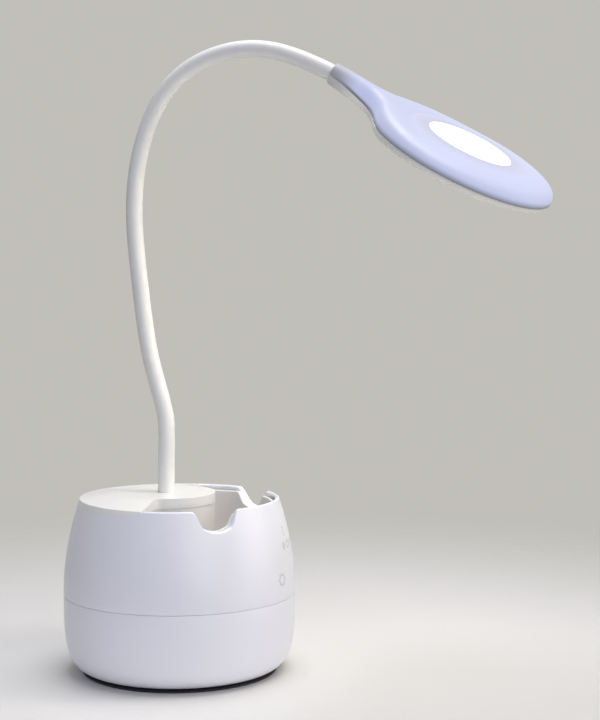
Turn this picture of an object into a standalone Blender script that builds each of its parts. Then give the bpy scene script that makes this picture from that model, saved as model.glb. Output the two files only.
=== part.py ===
"""Desk lamp with a pen holder: a round base that stores pens, a flexible neck and a round lit head.

The lamp stands on Z = 0 with the base's axis on Z, its front towards -Y and its right side towards +X.
"""

import math

import bmesh
import bpy
from mathutils import Matrix, Vector

MM = 0.001

# Clearances shared by all pieces
CLEARANCE = 0.3 * MM
OVERRUN = 2.0 * MM
WELD_DISTANCE = 0.002 * MM

# Base casing
BASE_RADIUS = 57.6 * MM
BASE_HEIGHT = 86.0 * MM
RIM_DRAW_IN = 8.1 * MM
WAIST_HEIGHT = 41.5 * MM
SEAM_HEIGHT = 38.9 * MM
SEAM_GAP = 0.4 * MM
SHELL_WALL = 2.2 * MM
TONGUE_HEIGHT = 3.0 * MM
TONGUE_WALL = 1.2 * MM
TONGUE_ROOT = 5.0 * MM
BOTTOM_ROUND = 19.6 * MM
UPPER_CURVE_POWER = 1.8
LOWER_CURVE_POWER = 3.9
RIM_RADIUS = BASE_RADIUS - RIM_DRAW_IN
BOTTOM_FLAT_RADIUS = BASE_RADIUS - BOTTOM_ROUND

# Foot pad
FOOT_SET_IN = 8.1 * MM
FOOT_THICKNESS = 1.5 * MM
FOOT_CHAMFER = 0.4 * MM
FOOT_RADIUS = BASE_RADIUS - FOOT_SET_IN

# Phone-rest notches in the rim
NOTCH_ANGLE = 52.0
NOTCH_DEPTH = 8.8 * MM
NOTCH_TOP_HALF_WIDTH = 10.2 * MM
NOTCH_FLOOR_HALF_WIDTH = 3.2 * MM

# Pen cup
CUP_WALL = 1.6 * MM
CUP_FLOOR_HEIGHT = 12.0 * MM
CUP_CORNER_RADIUS = 4.0 * MM
CUP_FLOOR_FILLET = 2.0 * MM
FILLET_MIDDLE_SHARE = 0.3
BOSS_RADIUS = 24.0 * MM
POCKET_REAR = 4.5 * MM

# Deck cover
DECK_THICKNESS = 2.2 * MM
DECK_RISE = 2.5 * MM
DECK_OVERHANG = 0.4 * MM
DECK_LIP_RADIUS = 1.2 * MM
DECK_LIP_SHARES = ((0.0, 1.0), (0.3, 0.3), (1.0, 0.0))
DECK_RING_SHARES = (0.4, 0.75, 1.0)

# Screws and their posts in the base
SCREW_RADIUS = 1.5 * MM
SCREW_HEAD_RADIUS = 2.8 * MM
SCREW_HEAD_HEIGHT = 2.0 * MM
SCREW_BITE = 3.7 * MM
HEAD_CROWN_SHARE = 0.7
HEAD_SIDE_SHARE = 0.6
POINT_SHARE = 0.4
POST_RADIUS = 3.6 * MM
FRONT_POST_SET_IN = 12.6 * MM
FRONT_POST_ANGLE = 40.6
REAR_POST_ANGLE = 128.5
FRONT_POST_RING = RIM_RADIUS - FRONT_POST_SET_IN
REAR_POST_RING = RIM_RADIUS - SHELL_WALL - POST_RADIUS - CLEARANCE
FRONT_BOSS_TOP = 7.0 * MM
REAR_BOSS_TOP = 34.0 * MM
BOSS_SEAT_WALL = 2.6 * MM

# Ballast, tray, cell and control board
BALLAST_SET_IN = 14.6 * MM
BALLAST_RADIUS = BASE_RADIUS - BALLAST_SET_IN
BALLAST_THICKNESS = 5.0 * MM
TRAY_THICKNESS = 1.6 * MM
TRAY_LEFT_SHARE = 0.54
TRAY_RIGHT_SHARE = 0.38
TRAY_FRONT_SHARE = 0.24
TRAY_LEFT = BASE_RADIUS * TRAY_LEFT_SHARE
TRAY_RIGHT = BASE_RADIUS * TRAY_RIGHT_SHARE
TRAY_FRONT = BASE_RADIUS * TRAY_FRONT_SHARE
TRAY_RADIUS = RIM_RADIUS
BOARD_THICKNESS = 1.6 * MM
BOARD_LEFT_SHARE = 0.12
BOARD_RIGHT_SHARE = 0.33
BOARD_FRONT_SHARE = 0.295
BOARD_LEFT = BASE_RADIUS * BOARD_LEFT_SHARE
BOARD_RIGHT = BASE_RADIUS * BOARD_RIGHT_SHARE
BOARD_FRONT = BASE_RADIUS * BOARD_FRONT_SHARE
CELL_ROOM = 0.9 * MM
CELL_HEADROOM = 17.5 * MM
CELL_HEIGHT = BASE_HEIGHT - CELL_HEADROOM
CELL_CAP_RADIUS = 3.0 * MM
CELL_CAP_HEIGHT = 1.2 * MM
CELL_REAR_SHARE = 0.45
CELL_Y = BASE_RADIUS * CELL_REAR_SHARE
CELL_RING_WALL = 1.3 * MM
CELL_RING_HEIGHT = 10.0 * MM
STANDOFF_RADIUS = 2.0 * MM
STANDOFF_HEIGHT = 1.8 * MM
STANDOFF_INSET = 3.0 * MM
CHIP_HEIGHT = 1.2 * MM
CHIP_SIZE = 7.0 * MM
COIL_RADIUS = 3.2 * MM
COIL_HEIGHT = 4.0 * MM
SOCKET_WIDTH = 9.0 * MM
SOCKET_HEIGHT = 3.3 * MM
SOCKET_LENGTH = 9.4 * MM
SOCKET_WALL = 0.4 * MM
SOCKET_DEPTH = 7.0 * MM
SOCKET_TONGUE_WIDTH = 6.4 * MM
SOCKET_TONGUE_THICKNESS = 0.7 * MM
SOCKET_RECESS = 0.8 * MM
SOCKET_OVERHANG = 8.1 * MM

# Touch circuit behind the front wall
TOUCH_WIDTH_SHARE = 0.26
TOUCH_HALF_WIDTH = BASE_RADIUS * TOUCH_WIDTH_SHARE
TOUCH_LOW = 41.5 * MM
TOUCH_TOP_DROP = 14.5 * MM
TOUCH_HIGH = BASE_HEIGHT - TOUCH_TOP_DROP
TOUCH_THICKNESS = 1.2 * MM
TOUCH_SPRING_RADIUS = 3.0 * MM
TOUCH_SPRING_TIP_SHARE = 0.6
TOUCH_UPPER_DROP = 20.5 * MM
TOUCH_UPPER_HEIGHT = BASE_HEIGHT - TOUCH_UPPER_DROP
TOUCH_LOWER_HEIGHT = 50.5 * MM
TOUCH_LOWER_ANGLE = 12.0

# Neck bracket and the gooseneck's lower end
NECK_SET_BACK = 6.9 * MM
BRACKET_DROP = 14.5 * MM
BRACKET_HEIGHT = BASE_HEIGHT - BRACKET_DROP
BRACKET_THICKNESS = 3.0 * MM
BRACKET_HALF_LENGTH = 19.0 * MM
BRACKET_HALF_WIDTH = 6.5 * MM
BRACKET_POST_X = 14.5 * MM
BRACKET_SCREW_RADIUS = 1.25 * MM
BRACKET_SCREW_LENGTH = 7.0 * MM
BRACKET_HEAD_RADIUS = 2.4 * MM
BRACKET_HEAD_HEIGHT = 1.8 * MM
BRACKET_POST_RADIUS = 3.0 * MM
FERRULE_RADIUS = 4.0 * MM
FERRULE_TAIL = 8.0 * MM
FERRULE_FLANGE_RADIUS = 7.0 * MM
FERRULE_FLANGE_HEIGHT = 2.2 * MM
FERRULE_TOP = BASE_HEIGHT
WASHER_RADIUS = 7.2 * MM
WASHER_THICKNESS = 1.2 * MM
NUT_RADIUS = 7.4 * MM
NUT_HEIGHT = 4.6 * MM

# Neck
NECK_START_RISE = 3.5 * MM
NECK_START_HEIGHT = BASE_HEIGHT + NECK_START_RISE
NECK_LENGTH = 296.0 * MM
SLEEVE_RADIUS = 4.1 * MM
SLEEVE_WALL = 1.0 * MM
CORE_RADIUS = 2.6 * MM
CORE_GROOVE = 0.3 * MM
CORE_RIB_PITCH = 5.5 * MM
RIB_LAND_SHARE = 0.2
RIB_GROOVE_SHARE = 0.7
CORE_BORE_RADIUS = 1.7 * MM
LEAD_RADIUS = 1.1 * MM
TUBE_STEP = 9.0 * MM
JOINT_STRAIGHT = 4.0 * MM
NECK_STATION_SHARES = (0.0, 0.09, 0.16, 0.28, 0.43, 0.56, 0.66, 0.75, 0.83, 0.91, 1.0)
NECK_HEADINGS = (90.0, 90.0, 106.0, 98.0, 94.0, 78.0, 59.0, 28.0, 5.0, -18.0, -28.7)
NECK_JOINT_SHARES = (0.06, 0.18, 0.30, 0.42, 0.54, 0.66, 0.78, 0.90)
LEAD_REAR_SHARE = 0.42
LEAD_SIDE_SHARE = 0.104
LEAD_BOARD_Y = BASE_RADIUS * LEAD_REAR_SHARE
LEAD_BOARD_X = BASE_RADIUS * LEAD_SIDE_SHARE
LEAD_RISE = 30.0 * MM

# Head
HEAD_RADIUS = 46.7 * MM
HEAD_REACH = 72.8 * MM
HEAD_ROLL = 13.4
HEAD_TOP_DEPTH = 9.0 * MM
HEAD_BOTTOM_DEPTH = 15.2 * MM
HEAD_WALL = 1.5 * MM
HEAD_PARTING_GAP = 0.4 * MM
TAIL_OVERLAP = 1.9 * MM
TAIL_WALL = 0.8 * MM
TAIL_RADIUS = 5.5 * MM
TAIL_DROP = 1.7 * MM
TAIL_NECK_HALF_WIDTH = 6.3 * MM
TAIL_NECK_DISTANCE = 60.0 * MM
TAIL_THIN_DISTANCE = 53.0 * MM
TAIL_JOIN_DISTANCE = 43.0 * MM
CREASE_RADIUS = 33.5 * MM
CREASE_SLOPE = 0.16
RIDGE_PLACES = (33.5 * MM, 38.0 * MM, 45.0 * MM, 52.0 * MM, 60.0 * MM, 68.0 * MM, 74.7 * MM)
RIDGE_HEIGHTS = (0.0, 0.7 * MM, 1.9 * MM, 2.7 * MM, 3.2 * MM, 3.6 * MM, 3.7 * MM)
PARTING_PLACES = (36.0 * MM, 42.0 * MM, 48.0 * MM, 54.0 * MM, 60.0 * MM, 66.0 * MM, 74.7 * MM)
PARTING_DROPS = (9.0 * MM, 8.4 * MM, 7.3 * MM, 6.0 * MM, 4.6 * MM, 3.2 * MM, 1.7 * MM)
KEEL_PLACES = (30.0 * MM, 38.0 * MM, 44.0 * MM, 50.0 * MM, 60.0 * MM, 74.7 * MM)
KEEL_DROPS = (15.2 * MM, 14.6 * MM, 12.8 * MM, 11.2 * MM, 9.2 * MM, 7.1 * MM)
TOP_EDGE_POWER = 3.4
BOTTOM_EDGE_POWER = 3.0
TAIL_EDGE_POWER = 2.0
NECK_FLARE_SLOPE = 0.1
SLEEVE_ENTRY = 6.0 * MM

# Window, board and light sources in the head
WINDOW_RADIUS = 21.3 * MM
WINDOW_FLANGE = 2.2 * MM
WINDOW_FLANGE_THICKNESS = 1.0 * MM
LIGHT_TUBE_WALL = 1.2 * MM
LED_BOARD_RADIUS = 38.5 * MM
LED_BOARD_THICKNESS = 1.2 * MM
LED_BOARD_DEPTH = 9.8 * MM
LED_LENGTH = 3.5 * MM
LED_WIDTH = 2.8 * MM
LED_HEIGHT = 0.7 * MM
LOWER_LED_RING = 32.0 * MM
LOWER_LED_INNER_RING = 19.0 * MM
UPPER_LED_RING = 12.0 * MM
LOWER_LED_COUNT = 14
LOWER_LED_INNER_COUNT = 7
UPPER_LED_COUNT = 6
DIFFUSER_RADIUS = 37.0 * MM
DIFFUSER_WALL = 1.6 * MM
DIFFUSER_BULGE = 1.0 * MM
DIFFUSER_LIP = 1.8 * MM
DIFFUSER_OUTER_SHARES = (0.5, 0.85, 1.0)
DIFFUSER_INNER_SHARES = (0.9, 0.5)
HEAD_POST_RING = 28.0 * MM
HEAD_POST_RADIUS = 2.6 * MM
HEAD_SCREW_RADIUS = 1.0 * MM
HEAD_SCREW_HEAD_RADIUS = 1.9 * MM
HEAD_SCREW_HEAD_HEIGHT = 0.9 * MM
HEAD_SCREW_LENGTH = 5.0 * MM
HEAD_SCREW_COUNT = 3
HEAD_FERRULE_RADIUS = 3.4 * MM
HEAD_FERRULE_LENGTH = 12.0 * MM
HEAD_FERRULE_FLANGE = 3.8 * MM
HEAD_FERRULE_FLANGE_LENGTH = 2.0 * MM
CRADLE_HALF_WIDTH = 3.6 * MM
CRADLE_THICKNESS = 1.4 * MM
CRADLE_SPACING = 4.5 * MM
LEAD_END_DISTANCE = 36.0 * MM

# Angles of the ball's two outer rings
BALL_ANGLES = (90.0, 68.0)

# Counts of facets, and the angle past which an edge is shaded as a corner
SHARP_ANGLE = 35.0
ROUND_STEPS = 40
SMALL_STEPS = 12
SCREW_STEPS = 8
TUBE_SIDES = 10
CORE_SIDES = 8
LEAD_SIDES = 6


def clear_scene():
    """Remove whatever objects the scene starts with."""
    for thing in list(bpy.data.objects):
        bpy.data.objects.remove(thing, do_unlink=True)


def material(name, colour, roughness, metallic=0.0):
    """A plain finish, made once for each name."""
    found = bpy.data.materials.get(name)
    if found is not None:
        return found
    made = bpy.data.materials.new(name)
    made.use_nodes = True
    shader = made.node_tree.nodes["Principled BSDF"]
    shader.inputs["Base Color"].default_value = (*colour, 1.0)
    shader.inputs["Roughness"].default_value = roughness
    shader.inputs["Metallic"].default_value = metallic
    made.diffuse_color = (*colour, 1.0)
    return made


FINISHES = {
    "white_plastic": ((0.80, 0.80, 0.83), 0.22, 0.0),
    "white_silicone": ((0.78, 0.78, 0.76), 0.45, 0.0),
    "opal_plastic": ((0.92, 0.92, 0.90), 0.35, 0.0),
    "dark_rubber": ((0.03, 0.03, 0.03), 0.8, 0.0),
    "grey_plastic": ((0.35, 0.36, 0.38), 0.5, 0.0),
    "steel": ((0.60, 0.60, 0.60), 0.35, 1.0),
    "aluminium": ((0.75, 0.75, 0.76), 0.4, 1.0),
    "brass": ((0.70, 0.55, 0.28), 0.35, 1.0),
    "circuit_board": ((0.04, 0.22, 0.10), 0.5, 0.0),
    "black_plastic": ((0.02, 0.02, 0.02), 0.4, 0.0),
    "blue_wrap": ((0.05, 0.18, 0.45), 0.4, 0.0),
    "led": ((0.95, 0.88, 0.45), 0.4, 0.0),
}


def shade(mesh):
    """Shade a mesh smooth, with its corners kept sharp."""
    mesh.shade_smooth()
    mesh.set_sharp_from_angle(angle=math.radians(SHARP_ANGLE))


def finish_object(name, bm, finish, frame=None):
    """Weld a bmesh, turn its faces outwards, place it and make it a named object."""
    bmesh.ops.remove_doubles(bm, verts=bm.verts, dist=WELD_DISTANCE)
    bmesh.ops.recalc_face_normals(bm, faces=bm.faces)
    if frame is not None:
        bmesh.ops.transform(bm, matrix=frame, verts=bm.verts)
    mesh = bpy.data.meshes.new(name)
    bm.to_mesh(mesh)
    bm.free()
    shade(mesh)
    mesh.materials.append(material(finish, *FINISHES[finish]))
    thing = bpy.data.objects.new(name, mesh)
    bpy.context.scene.collection.objects.link(thing)
    return thing


def combine(target, tools, operation):
    """Apply a Boolean with each tool in turn, and remove the tools."""
    for tool in tools:
        step = target.modifiers.new("combine", "BOOLEAN")
        step.operation = operation
        step.solver = "EXACT"
        step.object = tool
        bpy.context.view_layer.update()
        graph = bpy.context.evaluated_depsgraph_get()
        result = bpy.data.meshes.new_from_object(target.evaluated_get(graph))
        target.modifiers.remove(step)
        old = target.data
        target.data = result
        bpy.data.meshes.remove(old)
        bpy.data.objects.remove(tool, do_unlink=True)
    shade(target.data)
    return target


def cut(target, *tools):
    return combine(target, tools, "DIFFERENCE")


def join(target, *tools):
    return combine(target, tools, "UNION")


def lathe(name, profile, finish, steps=ROUND_STEPS, frame=None, closed=True):
    """Spin a profile of (radius, height) points round Z; one that ends on the axis isn't closed."""
    bm = bmesh.new()
    verts = [bm.verts.new((radius, 0, height)) for radius, height in profile]
    pairs = list(zip(verts, verts[1:]))
    if closed:
        pairs.append((verts[-1], verts[0]))
    edges = [bm.edges.new(pair) for pair in pairs]
    bmesh.ops.spin(
        bm, geom=verts + edges, cent=(0, 0, 0), axis=(0, 0, 1), angle=math.tau, steps=steps, use_merge=True
    )
    return finish_object(name, bm, finish, frame)


def rod(name, radius, low, high, finish="steel", centre=(0, 0), steps=SMALL_STEPS, frame=None):
    """A plain cylinder from one height to another."""
    place = Matrix.Translation((centre[0], centre[1], 0))
    profile = [(0, low), (radius, low), (radius, high), (0, high)]
    return lathe(name, profile, finish, steps, place if frame is None else frame @ place, closed=False)


def ring(name, inner, outer, low, high, finish="steel", centre=(0, 0), steps=SMALL_STEPS, frame=None):
    """A plain tube from one height to another."""
    place = Matrix.Translation((centre[0], centre[1], 0))
    profile = [(inner, low), (outer, low), (outer, high), (inner, high)]
    return lathe(name, profile, finish, steps, place if frame is None else frame @ place)


def box_mesh(bm, low, high):
    """Add a box between two corners to a bmesh."""
    made = bmesh.ops.create_cube(bm, size=1.0)
    middle = [(a + b) / 2 for a, b in zip(low, high)]
    size = [b - a for a, b in zip(low, high)]
    bmesh.ops.scale(bm, vec=size, verts=made["verts"])
    bmesh.ops.translate(bm, vec=middle, verts=made["verts"])
    return made["verts"]


def box(name, low, high, finish, frame=None):
    bm = bmesh.new()
    box_mesh(bm, low, high)
    return finish_object(name, bm, finish, frame)


def prism(name, outline, low, high, finish, frame=None):
    """Extrude a flat outline of (x, y) points from one height to another."""
    bm = bmesh.new()
    base = bm.faces.new([bm.verts.new((x, y, low)) for x, y in outline])
    grown = bmesh.ops.extrude_face_region(bm, geom=[base])
    top = [item for item in grown["geom"] if isinstance(item, bmesh.types.BMVert)]
    bmesh.ops.translate(bm, vec=(0, 0, high - low), verts=top)
    return finish_object(name, bm, finish, frame)


def stack_loops(bm, loops, wrap=False):
    """Skin a stack of closed point loops of equal count; wrap joins the last loop to the first."""
    rows = [[bm.verts.new(point) for point in loop] for loop in loops]
    pairs = list(zip(rows, rows[1:]))
    if wrap:
        pairs.append((rows[-1], rows[0]))
    for lower, upper in pairs:
        count = len(lower)
        for index in range(count):
            after = (index + 1) % count
            bm.faces.new((lower[index], lower[after], upper[after], upper[index]))
    return rows


def circle_points(radius, steps, frame):
    """Points of a circle in the XY plane of a frame."""
    turn = math.tau / steps
    return [
        frame @ Vector((radius * math.cos(turn * index), radius * math.sin(turn * index), 0))
        for index in range(steps)
    ]


def tube(name, outer_rings, inner_rings, sides, finish):
    """A hollow tube skinned over rings of (frame, radius), first up the outside, then down the bore."""
    bm = bmesh.new()
    loops = [circle_points(radius, sides, frame) for frame, radius in outer_rings]
    loops += [circle_points(radius, sides, frame) for frame, radius in reversed(inner_rings)]
    stack_loops(bm, loops, wrap=True)
    return finish_object(name, bm, finish)


def smooth(share):
    """Ease from 0 to 1."""
    share = min(1.0, max(0.0, share))
    return share * share * (3.0 - 2.0 * share)


def through_stations(places, values, at):
    """Value at a place on a smooth curve through stations, level before the first and after the last."""
    at = min(places[-1], max(places[0], at))
    last = len(places) - 2
    index = 0
    while index < last and at > places[index + 1]:
        index += 1
    span = places[index + 1] - places[index]

    def slope(station):
        low = max(0, station - 1)
        high = min(len(places) - 1, station + 1)
        if station == 0:
            return 0.0
        return (values[high] - values[low]) / (places[high] - places[low])

    t = (at - places[index]) / span
    first = (2 * t**3 - 3 * t**2 + 1) * values[index] + (t**3 - 2 * t**2 + t) * span * slope(index)
    second = (3 * t**2 - 2 * t**3) * values[index + 1] + (t**3 - t**2) * span * slope(index + 1)
    return first + second


def mix(low, high, share):
    return low + (high - low) * share


# Base casing


def upper_radius(height):
    """Outer radius of the upper shell at a height."""
    above = max(0.0, (height - WAIST_HEIGHT) / (BASE_HEIGHT - WAIST_HEIGHT))
    return BASE_RADIUS - (BASE_RADIUS - RIM_RADIUS) * above**UPPER_CURVE_POWER


def bowl_point(angle, wall, floor):
    """Point of the lower shell's outside, or of its inside with a wall and a floor thickness."""
    power = 2.0 / LOWER_CURVE_POWER
    reach = BASE_RADIUS - wall - BOTTOM_FLAT_RADIUS
    bottom = FOOT_THICKNESS + CLEARANCE + floor
    radius = BOTTOM_FLAT_RADIUS + reach * math.cos(angle) ** power
    return radius, WAIST_HEIGHT - (WAIST_HEIGHT - bottom) * math.sin(angle) ** power


def bowl_radius(height):
    """Outer radius of the lower shell at a height."""
    bottom = FOOT_THICKNESS + CLEARANCE
    down = min(1.0, max(0.0, (WAIST_HEIGHT - height) / (WAIST_HEIGHT - bottom)))
    spread = (1.0 - down**LOWER_CURVE_POWER) ** (1.0 / LOWER_CURVE_POWER)
    return BOTTOM_FLAT_RADIUS + (BASE_RADIUS - BOTTOM_FLAT_RADIUS) * spread


FLOOR_TOP = FOOT_THICKNESS + CLEARANCE + SHELL_WALL
DECK_UNDERSIDE = BASE_HEIGHT - DECK_THICKNESS
CUP_RADIUS = RIM_RADIUS - SHELL_WALL - CLEARANCE
CUP_TOP = DECK_UNDERSIDE - CLEARANCE
BOWL_ANGLES = (14.0, 30.0, 46.0, 62.0, 77.0, 90.0)
BOWL_INSIDE_ANGLES = (25.0, 55.0, 80.0, 90.0)


def post_place(distance, degrees, top):
    """Centre of a screw post, turned from the front towards the right side, and the top of its boss."""
    angle = math.radians(degrees)
    return distance * math.sin(angle), -distance * math.cos(angle), top


POST_PLACES = (
    post_place(FRONT_POST_RING, FRONT_POST_ANGLE, FRONT_BOSS_TOP),
    post_place(FRONT_POST_RING, -FRONT_POST_ANGLE, FRONT_BOSS_TOP),
    post_place(REAR_POST_RING, REAR_POST_ANGLE, REAR_BOSS_TOP),
    post_place(REAR_POST_RING, -REAR_POST_ANGLE, REAR_BOSS_TOP),
)
CELL_SPAN = POST_PLACES[2][0] - POST_RADIUS
CELL_X = -(CELL_SPAN + BOARD_LEFT) / 2
CELL_RADIUS = (CELL_SPAN - BOARD_LEFT) / 2 - CELL_RING_WALL - CLEARANCE - CELL_ROOM


def make_foot_pad():
    profile = [
        (0, 0),
        (FOOT_RADIUS - FOOT_CHAMFER, 0),
        (FOOT_RADIUS, FOOT_CHAMFER),
        (FOOT_RADIUS, FOOT_THICKNESS),
        (0, FOOT_THICKNESS),
    ]
    return lathe("foot_pad", profile, "dark_rubber", closed=False)


def make_lower_shell():
    """A bowl with a flat bottom, a tongue behind the seam and four screw bosses."""
    top = SEAM_HEIGHT - SEAM_GAP / 2
    tongue_outer = BASE_RADIUS - SHELL_WALL - CLEARANCE
    tongue_inner = tongue_outer - TONGUE_WALL
    profile = [(0, FOOT_THICKNESS + CLEARANCE)]
    profile += [bowl_point(math.radians(angle), 0.0, 0.0) for angle in reversed(BOWL_ANGLES)]
    profile += [(BASE_RADIUS, top), (tongue_outer, top), (tongue_outer, SEAM_HEIGHT + TONGUE_HEIGHT)]
    profile += [(tongue_inner, SEAM_HEIGHT + TONGUE_HEIGHT), (tongue_inner, top - TONGUE_ROOT)]
    for angle in BOWL_INSIDE_ANGLES:
        radius, height = bowl_point(math.radians(angle), SHELL_WALL, SHELL_WALL)
        if height < top - TONGUE_ROOT - TONGUE_WALL:
            profile.append((radius, height))
    profile.append((0, FLOOR_TOP))
    shell = lathe("lower_shell", profile, "white_plastic", closed=False)
    bottom = FOOT_THICKNESS + CLEARANCE
    for x, y, boss_top in POST_PLACES:
        seat = boss_top - BOSS_SEAT_WALL
        join(shell, rod("boss", POST_RADIUS, bottom + SHELL_WALL / 2, boss_top, centre=(x, y)))
        cut(shell, rod("counterbore", SCREW_HEAD_RADIUS + CLEARANCE, -OVERRUN, seat, centre=(x, y)))
        cut(shell, rod("pilot", SCREW_RADIUS + CLEARANCE, -OVERRUN, boss_top + OVERRUN, centre=(x, y)))
    cut(shell, socket_cutter(CLEARANCE))
    return shell


def make_upper_shell():
    """The tapered wall with a rounded rim, two notches and a rebate for the deck cover."""
    low = SEAM_HEIGHT + SEAM_GAP / 2
    lip = SHELL_WALL / 2
    count = 6
    heights = [mix(low, BASE_HEIGHT - lip, index / count) for index in range(count + 1)]
    outer = [(upper_radius(height), height) for height in heights]
    inner = [(radius - SHELL_WALL, height) for radius, height in reversed(outer[::2])]
    centre = outer[-1][0] - lip
    rim = []
    for degrees in (45.0, 90.0, 135.0):
        angle = math.radians(degrees)
        rim.append((centre + lip * math.cos(angle), BASE_HEIGHT - lip + lip * math.sin(angle)))
    shell = lathe("upper_shell", outer + rim + inner, "white_plastic")
    cut(shell, rebate_cutter())
    for side in (-1, 1):
        cut(shell, notch_cutter(side))
    return shell


def rebate_cutter():
    """The space of the deck cover's edge, behind the pen opening."""
    front = POCKET_REAR - DECK_OVERHANG - CLEARANCE
    far = BASE_RADIUS
    outline = [(-far, front), (far, front), (far, far), (-far, far)]
    return prism("rebate", outline, CUP_TOP, BASE_HEIGHT + OVERRUN, "white_plastic")


def notch_cutter(side):
    """A U with soft shoulders, pushed through the rim along its own radius."""
    floor = BASE_HEIGHT - NOTCH_DEPTH
    steps = 8
    outline = []
    for index in range(steps + 1):
        share = index / steps
        width = mix(NOTCH_FLOOR_HALF_WIDTH, NOTCH_TOP_HALF_WIDTH, share)
        outline.append((width, floor + NOTCH_DEPTH * smooth(share)))
    outline.append((NOTCH_TOP_HALF_WIDTH, BASE_HEIGHT + OVERRUN))
    outline += [(-x, z) for x, z in reversed(outline)]
    turn = Matrix.Rotation(math.radians(side * NOTCH_ANGLE), 4, "Z")
    stand = Matrix.Rotation(math.radians(90.0), 4, "X")
    return prism("notch", outline, BOSS_RADIUS, BASE_RADIUS, "white_plastic", turn @ stand)


def horseshoe(inset):
    """Outline of the cup: 0 is its outside, the cup's wall is the pen pocket, more is further in."""
    outer = CUP_RADIUS - inset
    boss = BOSS_RADIUS - CUP_WALL + inset
    rear = POCKET_REAR + CUP_WALL - inset
    corner = CUP_CORNER_RADIUS + CUP_WALL - inset
    outer_x = math.sqrt((outer - corner) ** 2 - (rear - corner) ** 2)
    inner_x = math.sqrt((boss + corner) ** 2 - (rear - corner - NECK_SET_BACK) ** 2)
    outer_end = math.atan2(outer_x, -(rear - corner))
    inner_end = math.atan2(inner_x, NECK_SET_BACK - (rear - corner))
    half = []
    for index in range(13):
        angle = outer_end * index / 12
        half.append((outer * math.sin(angle), -outer * math.cos(angle)))
    for index in range(1, 4):
        angle = mix(outer_end, math.pi, index / 3)
        half.append((outer_x + corner * math.sin(angle), rear - corner - corner * math.cos(angle)))
    for index in range(4):
        angle = mix(math.pi, math.tau - (math.pi - inner_end), index / 3)
        half.append((inner_x + corner * math.sin(angle), rear - corner - corner * math.cos(angle)))
    for index in range(1, 9):
        angle = inner_end * (1 - index / 8)
        half.append((boss * math.sin(angle), NECK_SET_BACK - boss * math.cos(angle)))
    return half + [(-x, y) for x, y in reversed(half[1:-1])]


def make_pen_cup():
    """The horseshoe liner with its floor and the two posts that its screws bite into."""
    low = CUP_FLOOR_HEIGHT
    floor = low + CUP_WALL
    levels = [
        (0.0, low),
        (0.0, CUP_TOP),
        (CUP_WALL, CUP_TOP),
        (CUP_WALL, floor + CUP_FLOOR_FILLET),
        (CUP_WALL + CUP_FLOOR_FILLET * FILLET_MIDDLE_SHARE, floor + CUP_FLOOR_FILLET * FILLET_MIDDLE_SHARE),
        (CUP_WALL + CUP_FLOOR_FILLET, floor),
    ]
    bm = bmesh.new()
    loops = [[(x, y, height) for x, y in horseshoe(inset)] for inset, height in levels]
    rows = stack_loops(bm, loops)
    bm.faces.new(rows[0])
    bm.faces.new(rows[-1])
    cup = finish_object("pen_cup", bm, "white_plastic")
    post_low = FRONT_BOSS_TOP + CLEARANCE
    for x, y, boss_top in POST_PLACES[:2]:
        join(cup, rod("post", POST_RADIUS, post_low, low + CUP_WALL / 2, centre=(x, y)))
        cut(cup, rod("pilot", SCREW_RADIUS + CLEARANCE, post_low - OVERRUN, low, centre=(x, y)))
    for side in (-1, 1):
        cut(cup, notch_cutter(side))
    return cup


def deck_outline(inset):
    """Right half of the deck's edge from the front of the boss to the rear, drawn in by an inset."""
    boss = BOSS_RADIUS + DECK_OVERHANG - inset
    front = POCKET_REAR - DECK_OVERHANG + inset
    outer = RIM_RADIUS - inset
    corner = CUP_CORNER_RADIUS - DECK_OVERHANG + inset
    inner_x = math.sqrt((boss + corner) ** 2 - (front - corner - NECK_SET_BACK) ** 2)
    inner_end = math.atan2(inner_x, NECK_SET_BACK - (front - corner))
    half = []
    for index in range(9):
        angle = inner_end * index / 8
        half.append((boss * math.sin(angle), NECK_SET_BACK - boss * math.cos(angle)))
    for index in range(1, 4):
        angle = mix(inner_end + math.pi, math.pi, index / 3)
        half.append((inner_x + corner * math.sin(angle), front - corner - corner * math.cos(angle)))
    start = math.atan2(math.sqrt(outer**2 - front**2), -front)
    for index in range(13):
        angle = mix(start, math.pi, index / 12)
        half.append((outer * math.sin(angle), -outer * math.cos(angle)))
    return half + [(-x, y) for x, y in reversed(half[1:-1])]


def deck_height(x, y):
    """Height of the deck's top: full on the boss, falling to the rim behind it."""
    distance = math.hypot(x, y - NECK_SET_BACK)
    fall = smooth((distance - BOSS_RADIUS) / (RIM_RADIUS - BOSS_RADIUS))
    return BASE_HEIGHT + DECK_RISE * (1.0 - fall)


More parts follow.
